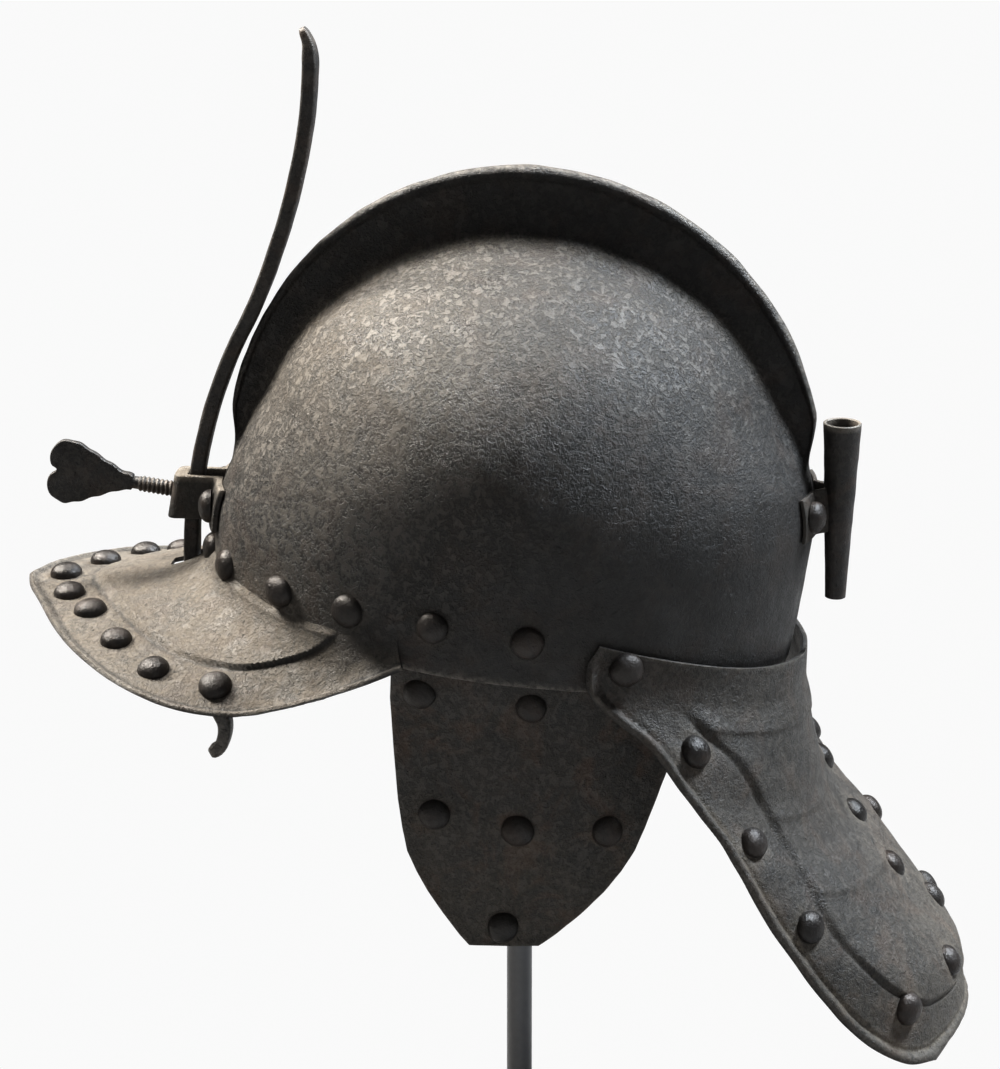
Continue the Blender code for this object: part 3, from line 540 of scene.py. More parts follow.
class Finishes:
    """Every finish of the helmet, built once."""

    def __init__(self) -> None:
        """Builds the materials."""
        self.bowl = IronFinish("bowl_iron").build()
        self.peak = IronFinish(
            "peak_iron",
            middle=tone(0.050, 0.044, 0.038),
            dusty=0.10,
            blisters=0.7,
        ).build()
        self.guard = IronFinish(
            "guard_iron",
            middle=tone(0.021, 0.0175, 0.0150),
            rusty=0.45,
            dusty=0.10,
            blisters=0.6,
            grain=0.55,
        ).build()
        self.cheek = IronFinish(
            "cheek_iron",
            middle=tone(0.022, 0.018, 0.016),
            rusty=0.75,
            dusty=0.05,
            blisters=0.6,
            grain=0.6,
        ).build()
        self.inside = IronFinish("inside_iron", rusty=0.9, dusty=0.0, blisters=0.3).build()
        self.rivet = IronFinish(
            "rivet_iron",
            deep=tone(0.010, 0.0085, 0.0080),
            middle=tone(0.030, 0.025, 0.023),
            rusty=0.35,
            dusty=0.05,
            metallic=0.40,
            rough=0.35,
            grain=0.40,
            blisters=0.25,
            pits=0.3,
        ).build()
        self.bar = IronFinish(
            "bar_iron",
            deep=tone(0.006, 0.005, 0.005),
            middle=tone(0.018, 0.015, 0.014),
            rusty=0.2,
            dusty=0.0,
            grain=0.35,
            blisters=0.2,
        ).build()
        self.tube = IronFinish(
            "tube_iron",
            middle=tone(0.022, 0.019, 0.019),
            rusty=0.35,
            dusty=0.02,
            grain=0.35,
            blisters=0.15,
        ).build()
        self.stand = SteelFinish("stand_steel").build()


def dress(
    piece: bpy.types.Object,
    finish: bpy.types.Material,
    body: Body,
    stands_for: Sequence[str] = (),
) -> bpy.types.Object:
    """Gives a piece its finish and its place in the frame.

    Args:
        piece: The finished piece.
        finish: Its material.
        body: The body that it rides on.
        stands_for: The CAD nodes that it replaces.

    Returns:
        The piece.
    """
    piece.data.materials.clear()
    piece.data.materials.append(finish)
    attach(piece, body.value)
    if stands_for:
        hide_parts(*stands_for)
    LOG.info("%s: %d points on %s", piece.name, len(piece.data.vertices), body.value)
    return piece


# ---------------------------------------------------------------------------
# The bowl's form, which the bowl, peak, bracket and plume holder follow


@dataclass(frozen=True)
class BowlForm:
    """The bowl's curved wall and the comb's height over it, in millimetres."""

    half_width: float = 94.0
    half_length: float = 117.5
    crown: float = 89.5
    depth: float = 280.0
    lean: float = 0.10
    tuck: float = 15.5
    tuck_low: float = -20.0
    tuck_high: float = 35.0
    comb_half_length: float = 116.5
    comb_height: float = 119.5
    comb_shift: float = 1.5

    def level(self, points: Array, inset: float = 0.0) -> Array:
        """Below 1 inside the wall, or inside the same wall drawn in by an inset."""
        x, y, z = points[..., 0], points[..., 1], points[..., 2]
        depth = np.where(z > 0, self.crown, self.depth) - inset
        lean = np.where(z > 0, 0.0, self.lean * z)
        drawn_in = self.tuck * smooth((z - self.tuck_low) / (self.tuck_high - self.tuck_low))
        length = self.half_length - drawn_in - inset
        return (x / (self.half_width - inset)) ** 2 + ((y - lean) / length) ** 2 + (z / depth) ** 2

    def reach(self, starts: Array, ways: Array, inset: float = 0.0) -> Array:
        """Distance from starts along ways to the wall.

        Args:
            starts: Places inside the wall (..., 3).
            ways: Unit directions (..., 3).
            inset: How far the wall is drawn in, in millimetres.

        Returns:
            The distances.
        """
        low = np.zeros(ways.shape[:-1])
        high = np.full(ways.shape[:-1], 600.0)
        for _ in range(34):
            middle = (low + high) / 2
            within = self.level(starts + ways * middle[..., None], inset) < 1.0
            low, high = np.where(within, middle, low), np.where(within, high, middle)
        return low

    def wall(self, turn: Array, height: Array) -> tuple[Array, Array]:
        """The wall at turns from the front and heights.

        Args:
            turn: Turns in degrees.
            height: Heights in millimetres.

        Returns:
            The places and the outward normals.
        """
        turn, height = np.broadcast_arrays(np.asarray(turn, float), np.asarray(height, float))
        angle = np.radians(turn)
        starts = np.stack([0 * height, self.lean * np.minimum(height, 0), height], axis=-1)
        ways = np.stack([np.sin(angle), -np.cos(angle), 0 * angle], axis=-1)
        places = starts + ways * self.reach(starts, ways)[..., None]
        slopes = [self.level(places + step) - self.level(places - step) for step in np.eye(3) * 0.01]
        normals = np.stack(slopes, axis=-1)
        return places, normals / np.linalg.norm(normals, axis=-1, keepdims=True)

    def wall_y(self, x: float, z: float, side: int) -> float:
        """The wall in Y at a distance from the middle plane and a height."""
        start = np.array((x, self.lean * min(z, 0.0), z))
        way = np.array((0.0, float(side), 0.0))
        return float(start[1] + side * self.reach(start[None], way[None])[0])

    def wall_x(self, y: Array, z: Array) -> Array:
        """The wall in X at places below the middle."""
        along = (y - self.lean * z) / self.half_length
        return self.half_width * np.sqrt(np.maximum(1 - along**2 - (z / self.depth) ** 2, 0))

    def comb_rise(self, angle: Array, centre: Array, bowl: Array) -> Array:
        """The comb's height over the wall along rays in the middle plane.

        Args:
            angle: The rays' angles.
            centre: Where they start.
            bowl: Their distances to the wall.

        Returns:
            The heights.
        """
        ways = np.stack([0 * angle, -np.cos(angle), np.sin(angle)], axis=-1)
        low, high = np.zeros(len(angle)), np.full(len(angle), 600.0)
        for _ in range(34):
            middle = (low + high) / 2
            point = centre + ways * middle[:, None]
            within = ((point[:, 1] - self.comb_shift) / self.comb_half_length) ** 2
            within = within + (point[:, 2] / self.comb_height) ** 2 < 1.0
            low, high = np.where(within, middle, low), np.where(within, high, middle)
        point = centre + ways * bowl[:, None]
        slope = np.degrees(np.arctan2(point[:, 2], np.abs(point[:, 1])))
        return np.maximum(low - bowl, 0.0) * smooth((slope + 1.0) / 9.0)


FORM = BowlForm()


# ---------------------------------------------------------------------------
# Rivets


@dataclass
class RivetMaker:
    """Domed rivet heads, modelled once and copied."""

    finishes: Finishes
    radius: float = 6.4
    height: float = 4.6
    model: bpy.types.Object | None = None

    def pattern(self) -> bpy.types.Object:
        """The rivet head that the others copy: half a ball, pressed down, on a thin foot."""
        if self.model is None:
            deselect()
            bpy.ops.mesh.primitive_uv_sphere_add(segments=28, ring_count=18, radius=self.radius * 0.001)
            self.model = named("rivet_pattern")
            bpy.ops.object.mode_set(mode="EDIT")
            bpy.ops.mesh.select_all(action="SELECT")
            foot = {"plane_co": (0, 0, 0.0004), "plane_no": (0, 0, 1)}
            bpy.ops.mesh.bisect(**foot, clear_inner=True, use_fill=False)
            bpy.ops.mesh.extrude_region_move(TRANSFORM_OT_translate={"value": (0, 0, -0.0012)})
            bpy.ops.object.mode_set(mode="OBJECT")
            points = np.empty(len(self.model.data.vertices) * 3)
            self.model.data.vertices.foreach_get("co", points)
            points = points.reshape(-1, 3)
            high = points[:, 2] > 0.0003
            points[high, 2] = self.height * 0.001 * (points[high, 2] / (self.radius * 0.001)) ** 0.92
            self.model.data.vertices.foreach_set("co", points.ravel())
            self.model.data.update()
        return self.model

    def heads(
        self,
        name: str,
        centres: Array,
        normals: Array,
        body: Body,
        stands_for: Sequence[str] = (),
        size: float = 1.0,
        seed: int = 1,
    ) -> bpy.types.Object:
        """Copies the head to each place and joins the copies.

        Args:
            name: The joined piece's name.
            centres: Places in helmet millimetres.
            normals: Outward ways.
            body: The body that they ride on.
            stands_for: CAD nodes that they replace.
            size: A share of the pattern's size.
            seed: Which small differences the copies get.

        Returns:
            The joined heads.
        """
        rng = np.random.default_rng(seed)
        pattern = self.pattern()
        copies = []
        for centre, normal in zip(centres, normals):
            copy = pattern.copy()
            copy.data = pattern.data.copy()
            bpy.context.collection.objects.link(copy)
            turn = Vector(normal).to_track_quat("Z", "Y").to_matrix().to_4x4()
            wide, tall = size * rng.uniform(0.96, 1.03, 2), size * rng.uniform(0.92, 1.06)
            scale = Matrix.Diagonal((*wide, tall, 1.0))
            spin = Matrix.Rotation(rng.uniform(0, 6.28), 4, "Z")
            place = Matrix.Translation(Vector(metres(np.asarray(centre))))
            local = np.array([vertex.co for vertex in copy.data.vertices]) * 1000
            dents = 1 + 0.035 * unevenness(local + rng.uniform(0, 90, 3), 8.0, seed)
            copy.data.vertices.foreach_set("co", (local * dents[:, None] * 0.001).ravel())
            copy.data.transform(place @ turn @ spin @ scale)
            copies.append(copy)
        deselect()
        for copy in copies:
            copy.select_set(True)
        bpy.context.view_layer.objects.active = copies[0]
        if len(copies) > 1:
            bpy.ops.object.join()
        piece = named(name)
        soften(piece, 60)
        return dress(piece, self.finishes.rivet, body, stands_for)

    def clear(self) -> None:
        """Removes the pattern once every head is made."""
        if self.model is not None:
            bpy.data.objects.remove(self.model, do_unlink=True)
            self.model = None


# ---------------------------------------------------------------------------
# The bowl, its comb and its peak


@dataclass
class Skull:
    """The bowl with its comb, its inside and its lining rivets."""

    finishes: Finishes
    rivets: RivetMaker
    rows: int = 300
    side_columns: int = 68
    rim_height: float = -60.0
    rim_fall: float = 0.11
    comb_full_rise: float = 6.0
    comb_section: Array = field(
        default_factory=lambda: np.array(
            [
                (0.0, 1.0),
                (1.2, 0.998),
                (2.2, 0.975),
                (2.9, 0.935),
                (3.0, 0.895),
                (2.6, 0.850),
                (1.9, 0.81),
                (1.7, 0.75),
                (1.8, 0.62),
                (2.2, 0.46),
                (3.2, 0.30),
                (4.2, 0.21),
                (5.6, 0.14),
                (9.8, 0.05),
                (16.0, 0.0),
            ]
        )
    )
    rivet_turns: tuple[float, ...] = (5.9, 20.3, 40.0, 58.3, 79.2, 101.7)
    rivet_heights: tuple[float, ...] = (-34.7, -33.4, -34.4, -36.2, -38.7, -43.5)

    def rim(self, y: Array) -> Array:
        """The edge's height at a place."""
        return self.rim_height - self.rim_fall * y

    def shell(self, inset: float, rows: int, side_columns: int, comb: float) -> Array:
        """The wall and comb as a sheet of points.

        Args:
            inset: How far inside the outer wall, in millimetres.
            rows: Rows from front to rear.
            side_columns: Columns down each side.
            comb: Share of the comb's height.

        Returns:
            Points (rows, columns, 3).
        """
        centre = np.array((0.0, 0.0, -99.64))
        angle = np.radians(np.linspace(11.0, 171.5, rows))
        ways = np.stack([0 * angle, -np.cos(angle), np.sin(angle)], axis=-1)
        bowl = FORM.reach(centre + 0 * ways, ways)
        rise = FORM.comb_rise(angle, centre, bowl)
        knots = np.arange(len(self.comb_section))
        fine = np.linspace(0, len(knots) - 1, 30)
        across = flowing(fine, knots, self.comb_section[:, 0])
        share = np.clip(flowing(fine, knots, self.comb_section[:, 1]), 0, 1)
        flat = np.linspace(0, across[-1], len(fine))
        full = np.minimum(rise / self.comb_full_rise, 1.0)[:, None]
        middle = flat + (across - flat) * full
        starts = centre + np.stack([middle, 0 * middle, 0 * middle], axis=-1)
        wall = FORM.reach(starts, np.broadcast_to(ways[:, None], starts.shape), inset)
        height = wall + rise[:, None] * share * comb
        half = starts + ways[:, None] * height[..., None]
        first = np.arctan2(middle[:, -1], wall[:, -1])[:, None]
        tilt = first + (np.pi / 2 - first) * np.linspace(0, 1, side_columns + 1)[1:]
        rays = ways[:, None] * np.cos(tilt)[..., None]
        rays = rays + np.stack([np.sin(tilt), 0 * tilt, 0 * tilt], axis=-1)
        sides = centre + rays * FORM.reach(centre + 0 * rays, rays, inset)[..., None]
        half = np.concatenate([half, sides], axis=1)
        return np.concatenate([half[:, :0:-1] * np.array((-1, 1, 1)), half], axis=1)

    def cut_rim(self, piece: bpy.types.Object) -> None:
        """Cuts a shell at the bowl's edge plane."""
        choose(piece)
        bpy.ops.object.mode_set(mode="EDIT")
        bpy.ops.mesh.select_all(action="SELECT")
        spot = metres(np.array((0.0, 0.0, self.rim_height)))
        bpy.ops.mesh.bisect(plane_co=tuple(spot), plane_no=(0, self.rim_fall, 1.0), clear_inner=True)
        bpy.ops.object.mode_set(mode="OBJECT")

    def turn_in_rim(self, piece: bpy.types.Object) -> None:
        """Gives the cut edge the plate's thickness, turned in."""
        mesh = bmesh.new()
        mesh.from_mesh(piece.data)
        for inward, up in ((0.4, -0.25), (1.0, 0.0), (0.4, 0.45), (0.0, 5.0)):
            edges = [edge for edge in mesh.edges if edge.is_boundary and self.on_rim(edge) < 40]
            made = bmesh.ops.extrude_edge_only(mesh, edges=edges)
            for vert in [item for item in made["geom"] if isinstance(item, bmesh.types.BMVert)]:
                flat = Vector((vert.co.x / FORM.half_width**2, vert.co.y / FORM.half_length**2, 0))
                flat = flat.normalized()
                vert.co += (Vector((0, 0, up)) - flat * inward) * 0.001
        mesh.to_mesh(piece.data)
        mesh.free()

    def on_rim(self, edge: bmesh.types.BMEdge) -> float:
        """How far an edge lies from the edge plane, in millimetres."""
        middle = (edge.verts[0].co + edge.verts[1].co) * 500
        return abs(middle.z - LIFT - float(self.rim(middle.y)))

    def build(self) -> None:
        """Builds the outer shell, the inner one and the lining rivets."""
        sheet = self.shell(0.0, self.rows, self.side_columns, 1.0)
        normals = grid_normals(sheet)
        normals *= np.sign((normals[..., 2]).mean())
        swell = 0.30 * unevenness(sheet, 34.0, 3) + 0.16 * unevenness(sheet, 13.0, 5)
        swell += 0.10 * unevenness(sheet, 20.0, 8) * nearness_to_comb(sheet)
        piece = woven("skull_bowl", sheet + normals * swell[..., None])
        face_outwards(piece, lambda at: at - np.array((0, 0, 0.27)))
        self.cut_rim(piece)
        self.turn_in_rim(piece)
        self.paint_bowl(piece)
        soften(piece, 60)
        dress(piece, self.finishes.bowl, Body.HELMET, ["skull"])
        inner = woven("skull_inside", self.shell(PLATE, 110, 34, 0.35))
        face_outwards(inner, lambda at: np.array((0, 0, 0.30)) - at)
        self.cut_rim(inner)
        soften(inner, 60)
        dress(inner, self.finishes.inside, Body.HELMET)
        places, ways = self.rivet_places()
        self.rivets.heads("lining_rivets", places, ways, Body.HELMET, seed=4)

    def rivet_places(self) -> tuple[Array, Array]:
        """The lining rivets' places and ways, both sides."""
        places, ways = FORM.wall(np.array(self.rivet_turns), np.array(self.rivet_heights))
        mirror = np.array((-1, 1, 1))
        return np.concatenate([places, places * mirror]), np.concatenate([ways, ways * mirror])

    def paint_bowl(self, piece: bpy.types.Object) -> None:
        """Paints dust, wear, flakes and rust over the bowl, and painted shade on the comb's flanks and
        the lower rear.
        """
        points, normals = places_of(piece)
        level = FORM.level(points)
        comb = smooth((level - 1.03) / 0.16)
        radius = np.hypot(points[:, 1] - FORM.comb_shift, points[:, 2] * 0.975)
        front = smooth((35 - points[:, 1]) / 130)
        top = smooth((points[:, 2] + 30) / 85)
        rivets, _ = self.rivet_places()
        ring = nearness(points, rivets, 10.5)
        flake = front * smooth((points[:, 2] + 62) / 50) * 0.9 + 0.45 * top
        paint(piece, "flake", np.clip(flake, 0, 1) * (1 - 0.85 * comb))
        high = smooth((points[:, 2] + 25) / 95)
        dust = 0.66 * front * high * (1 - comb) + 0.45 * ring * smooth((normals[:, 2] + 0.6) / 0.8)
        crease = np.exp(-(((level - 1.05) / 0.035) ** 2)) * smooth((points[:, 2] - 15) / 50)
        root = np.exp(-(((points[:, 2] + 40) / 12) ** 2)) * smooth((-45 - points[:, 1]) / 40)
        paint(piece, "dust", dust + 0.35 * crease + 0.35 * root)
        # Painted shade: the comb's flanks and the lower rear of the bowl are darkened.
        shaded_rear_foot = smooth((points[:, 1] + 5) / 70) * smooth((20 - points[:, 2]) / 60)
        paint(piece, "painted_shade_and_grime", 0.55 * comb + 0.35 * shaded_rear_foot)
        edge = nearness_band(radius, 116.9, 1.3) * comb
        rim = np.exp(-(((points[:, 2] - self.rim(points[:, 1])) / 0.9) ** 2))
        paint(piece, "wear", 0.75 * edge + 0.8 * rim)
        paint(piece, "rust", 0.3 * comb + 0.35 * front * smooth((10 - points[:, 2]) / 50))


def nearness_band(values: Array, middle: float, width: float) -> Array:
    """A soft band round one value."""
    return np.exp(-(((values - middle) / width) ** 2))


def nearness_to_comb(sheet: Array) -> Array:
    """How far up the comb each point lies."""
    return smooth((FORM.level(sheet) - 1.05) / 0.2)


@dataclass
class Peak:
    """The pointed peak, which flows out of the bowl's front."""

    finishes: Finishes
    rivets: RivetMaker
    columns: int = 250
    rows: int = 84
    bead: float = 1.25
    edge: Array = field(
        default_factory=lambda: np.array(
            [
                (0.000, -1.670, -0.565),
                (0.149, -1.641, -0.574),
                (0.324, -1.580, -0.589),
                (0.495, -1.517, -0.614),
                (0.628, -1.461, -0.637),
                (0.729, -1.405, -0.657),
                (0.819, -1.345, -0.678),
                (0.904, -1.281, -0.700),
                (0.973, -1.213, -0.723),
                (1.027, -1.132, -0.748),
                (1.056, -1.034, -0.779),
                (1.064, -0.931, -0.799),
                (1.061, -0.816, -0.805),
                (1.050, -0.686, -0.774),
                (1.032, -0.541, -0.722),
                (1.011, -0.382, -0.656),
                (0.996, -0.273, -0.598),
            ]
        )
        * np.array((94.0, 117.5, 94.0))
    )
    root: Array = field(
        default_factory=lambda: np.array(
            [
                (0.00, 0.0, -31.0),
                (0.25, 19.0, -34.0),
                (0.50, 38.0, -40.0),
                (0.75, 56.0, -43.0),
                (1.00, 71.0, -44.0),
            ]
        )
    )
    step: Array = field(
        default_factory=lambda: np.array(
            [
                (0.00, 0.773),
                (0.152, 0.733),
                (0.242, 0.707),
                (0.343, 0.693),
                (0.444, 0.667),
                (0.525, 0.613),
                (0.586, 0.547),
                (0.640, 0.410),
                (0.690, 0.280),
                (0.740, 0.10),
                (1.0, -0.20),
            ]
        )
    )
    rivet_spots: tuple[tuple[float, float], ...] = (
        (0.0, 0.88),
        (0.095, 0.88),
        (0.165, 0.84),
        (0.305, 0.825),
        (0.465, 0.82),
        (0.60, 0.735),
        (-0.10, 0.83),
        (-0.215, 0.83),
        (-0.33, 0.825),
        (-0.465, 0.82),
        (-0.60, 0.735),
    )

    def surface(self, along: Array, share: Array) -> Array:
        """The peak's middle sheet.

        Args:
            along: -1 to 1 from temple to temple.
            share: 0 at the wall to 1 at the edge.

        Returns:
            Points in millimetres.
        """
        side = np.where(along >= 0, 1.0, -1.0)
        far = np.abs(along)
        places = np.linspace(0, 1, len(self.edge))
        edge = np.stack([flowing(far, places, self.edge[:, axis]) for axis in range(3)], axis=-1)
        turn = flowing(far, self.root[:, 0], self.root[:, 1])
        height = flowing(far, self.root[:, 0], self.root[:, 2])
        wall, normal = FORM.wall(turn, height)
        start = wall - normal * PLATE * 0.5
        length = np.linalg.norm(edge - start, axis=-1, keepdims=True)
        down = start + np.array((0, -0.02, -1.0)) * np.minimum(0.45 * length, 16.0)
        inward = edge - (edge - down) * np.array((1, 1, 0.55)) * 0.55
        t = share[..., None]
        point = start * (1 - t) ** 3 + down * 3 * t * (1 - t) ** 2
        point = point + inward * 3 * t * t * (1 - t) + edge * t**3
        return point * np.stack([side, np.ones_like(side), np.ones_like(side)], axis=-1)

    def outline(self) -> Array:
        """Points along the free edge."""
        along = np.linspace(-1, 1, 4000)
        return self.surface(along, np.ones_like(along))

    def step_line(self) -> Array:
        """Points just outside the raised field's border."""
        along = np.linspace(-0.74, 0.74, 420)
        border = flowing(np.abs(along), self.step[:, 0], self.step[:, 1])
        return self.surface(along, border + 0.018)

    def heights(self, along: Array, share: Array, sheet: Array) -> Array:
        """The top's height over the middle sheet: field, bead and hand-made swell."""
        far = np.abs(along)
        border = flowing(far, self.step[:, 0], self.step[:, 1])
        within = (border - share) * 60
        fade = smooth((0.78 - far) / 0.1)
        inside = smooth(within / 1.0) * fade
        lip = 0.35 * nearness_band(within, 1.4, 1.5) - 0.45 * nearness_band(within, -1.0, 0.9)
        lip = lip * fade
        away = distances(sheet.reshape(-1, 3), self.outline()).reshape(along.shape)
        roll = rolled(away, 3.2) * self.bead
        swell = 0.15 * unevenness(sheet, 18.0, 12) + 0.07 * unevenness(sheet, 7.0, 13)
        meet = smooth(share / 0.10)
        return PLATE * 0.5 - 0.35 * (1 - meet) + (inside * 1.2 + lip + swell) * meet + roll

    def build(self) -> None:
        """Builds the peak's plate with its slot and its rivets."""
        along, share = np.meshgrid(np.linspace(-1, 1, self.columns), np.linspace(0, 1, self.rows))
        sheet = self.surface(along, share)
        normals = grid_normals(sheet)
        normals *= np.sign(normals[:, self.columns // 2, 2].mean())
        top = sheet + normals * self.heights(along, share, sheet)[..., None]
        piece = woven("skull_peak", top)
        face_outwards(piece, lambda at: np.array((0, -0.2, 1.0)) + 0 * at)
        apply(piece, "SOLIDIFY", thickness=PLATE * 0.001, offset=-1.0, use_rim=True)
        self.cut_slot(piece)
        self.paint_peak(piece)
        soften(piece, 50)
        dress(piece, self.finishes.peak, Body.HELMET)
        places, ways = self.rivet_places()
        self.rivets.heads("peak_rivets", places, ways, Body.HELMET, seed=6)

    def rivet_places(self) -> tuple[Array, Array]:
        """The peak rivets' places and ways."""
        along, share = (np.array([spot[column] for spot in self.rivet_spots]) for column in range(2))
        ahead = self.surface(along + 0.004, share) - self.surface(along - 0.004, share)
        outward = self.surface(along, share + 0.004) - self.surface(along, share - 0.004)
        ways = np.cross(ahead, outward)
        ways /= np.linalg.norm(ways, axis=1, keepdims=True)
        ways *= np.sign(ways[:, 2:3])
        return self.surface(along, share) + ways * PLATE * 0.5, ways

    def cut_slot(self, piece: bpy.types.Object) -> None:
        """Cuts the slot that the nasal bar slides through."""
        deselect()
        low, high = metres(np.array((-5.0, -138.3, -68.0))), metres(np.array((5.0, -122.3, -30.0)))
        middle, size = tuple((low + high) / 2), tuple(high - low)
        bpy.ops.mesh.primitive_cube_add(size=1, location=middle, scale=size)
        cut(piece, named("slot_cutter"))

    def paint_peak(self, piece: bpy.types.Object) -> None:
        """Paints dust over the top and wear on the bead, with painted shade on the underside, in the
        step's groove and in the gutter inside the bead, and darker towards the temples.
        """
        points, normals = places_of(piece)
        up = smooth((normals[:, 2] + 0.05) / 0.5)
        away = distances(points, self.outline())
        rivets, _ = self.rivet_places()
        ring = nearness(points, rivets, 10.0)
        temple = smooth((points[:, 1] + 75) / 45)
        step = distances(points, self.step_line())
        # Painted shade along the step of the raised field, with less dust there.
        shaded_groove = nearness_band(step, 0.0, 0.9) * up
        gutter = nearness_band(away, 3.6, 0.8) * up
        paint(piece, "dust", up * (0.62 + 0.25 * ring - 0.35 * temple) * (1 - 0.8 * shaded_groove))
        # Painted shade: the underside, the step's groove and the gutter inside the bead are darkened; the
        # parts towards the temples are darker too.
        paint(piece, "painted_shade_and_grime", 0.8 * (1 - up) + 0.35 * temple + 0.9 * shaded_groove + 0.8 * gutter)
        paint(piece, "wear", 0.9 * nearness_band(away, 1.5, 1.1) * up)
        paint(piece, "flake", 0.35 * up)
        paint(piece, "rust", 0.2 + 0.5 * nearness_band(away, 0.0, 2.0))


# ---------------------------------------------------------------------------
# The neck guard and the cheek pieces


@dataclass
class NeckGuard:
    """The one-piece tail with its false lames, rolled edge and rivets."""

    finishes: Finishes
    rivets: RivetMaker
    rows: int = 230
    columns: int = 150
    plate: float = 1.6
    roll_height: float = 2.1
    roll_width: float = 4.4
    table: Array = field(
        default_factory=lambda: np.array(
            [
                (113, -69.5, 87.6, 41.6, -45.3, 64, 0, 0),
                (113.2, -76, 88.4, 37.1, -52.8, 64, 0, 0),
                (113, -82, 88.6, 36.8, -61.1, 64, 0, 0),
                (113, -88, 88.4, 40.2, -67.8, 64, 0, 0),
                (113.3, -96, 88, 50.4, -76.2, 65, 0.01, 0),
                (114.4, -105, 87, 61.7, -84.5, 66, 0.02, 0),
                (115.9, -114, 86.5, 69.6, -94, 66, 0.03, 0),
                (116.9, -124, 86, 76.4, -102, 66, 0.045, 0),
                (120.7, -134, 85, 85.1, -112.5, 66, 0.06, 0),
                (127.5, -144.5, 84, 93.8, -122.5, 66, 0.075, 0),
                (137.5, -155, 82.5, 101.8, -135, 65, 0.09, 0),
                (147, -165.5, 80.5, 109, -148, 64, 0.1, 0),
                (156.5, -176, 78, 116, -160, 62, 0.112, 0),
                (165.6, -186.5, 75.5, 123.7, -171.5, 60, 0.12, 0),
                (172.5, -196, 72.5, 130, -181, 58, 0.125, 0.013),
                (175, -204, 69, 136.7, -190.1, 56, 0.13, 0.027),
                (176.2, -210.5, 64, 143.7, -200.3, 54, 0.13, 0.04),
                (176.8, -216, 57, 153.5, -211.5, 50, 0.13, 0.053),
                (176.6, -220, 47, 164.9, -220.6, 46, 0.13, 0.067),
                (176, -223, 34, 173.4, -223.8, 40, 0.13, 0.08),
            ]
        )
    )
    field_edge: Array = field(
        default_factory=lambda: np.array(
            [
                (0.00, 0.74),
                (0.19, 0.69),
                (0.27, 0.62),
                (0.37, 0.55),
                (0.45, 0.54),
                (0.54, 0.60),
                (0.62, 0.66),
                (0.70, 0.64),
                (0.78, 0.56),
                (1.00, 0.56),
            ]
        )
    )
    lames: tuple[float, ...] = (0.205, 0.405, 0.555)
    pivot_spot: tuple[float, float] = (44.9, -53.3)
    rivet_spots: tuple[tuple[float, float], ...] = (
        (0.25, 0.79),
        (0.45, 0.75),
        (0.61, 0.77),
        (0.80, 0.55),
        (0.25, -0.79),
        (0.45, -0.75),
        (0.585, -0.70),
        (0.70, -0.58),
        (0.84, -0.62),
        (0.42, -0.42),
        (0.495, -0.27),
        (0.575, -0.16),
        (0.675, -0.35),
        (0.735, 0.06),
    )

    def surface(self, along: Array, across: Array) -> Array:
        """The guard's outer sheet.

        Args:
            along: 0 at the top to 1 at the end.
            across: -1 to 1.

        Returns:
            Points in millimetres.
        """
        places = np.linspace(0, 1, len(self.table))
        row = [flowing(along, places, self.table[:, column]) for column in range(8)]
        middle_y, middle_z, edge_x, edge_y, edge_z, arch, wring, roll = row
        angle = np.radians(arch)
        x = edge_x * np.sin(across * angle) / np.sin(angle)
        mix = (1 - np.cos(across * angle)) / (1 - np.cos(angle))
        y = middle_y + (edge_y - middle_y) * mix - wring * x
        z = middle_z + (edge_z - middle_z) * mix - roll * x
        return np.stack([x, y, z], axis=-1)

    def outline(self) -> Array:
        """Points along both sides and the end, but not the top."""
        along, across = np.linspace(0.0, 1, 2400), np.linspace(-1, 1, 900)
        sides = [self.surface(along, np.full_like(along, side)) for side in (-1.0, 1.0)]
        return np.concatenate([*sides, self.surface(np.ones_like(across), across)])

    def field(self, along: Array, across: Array) -> Array:
        """How far inside the raised field each place lies, in millimetres."""
        border = flowing(along, self.field_edge[:, 0], self.field_edge[:, 1])
        side = (border - np.abs(across)) * 88
        end = (0.80 - along) * 215
        corner = 17.0
        rounded = corner - np.hypot(np.maximum(corner - side, 0), np.maximum(corner - end, 0))
        return np.where((side < corner) & (end < corner), rounded, np.minimum(side, end))

    def heights(self, along: Array, across: Array, sheet: Array) -> Array:
        """Field, false lames, rolled edge and swell over the sheet."""
        within = self.field(along, across)
        fade = smooth((along - 0.10) / 0.10)
        raised = smooth(within / 2.4) * fade * 1.35
        raised -= 0.75 * nearness_band(within, -1.4, 1.2) * fade
        for place in self.lames:
            away = (along - place) * 215 + 2.0 * np.abs(across) ** 2 * 3
            lap = np.where(away < 0, np.exp(away / 7.0), np.exp(-away / 1.0))
            raised += 0.85 * lap * smooth(within / 4.0)
        away = distances(sheet.reshape(-1, 3), self.outline()).reshape(along.shape)
        lower = 1 - 0.4 * smooth((along - 0.8) / 0.15)
        roll = rolled(away, self.roll_width) * self.roll_height * lower
        roll *= smooth((along - 0.02) / 0.06)
        hollow = -0.6 * nearness_band(away, self.roll_width + 0.9, 1.0) * smooth((along - 0.05) / 0.1)
        swell = 0.26 * unevenness(sheet, 24.0, 21) + 0.12 * unevenness(sheet, 9.0, 22)
        return raised + roll + hollow + swell

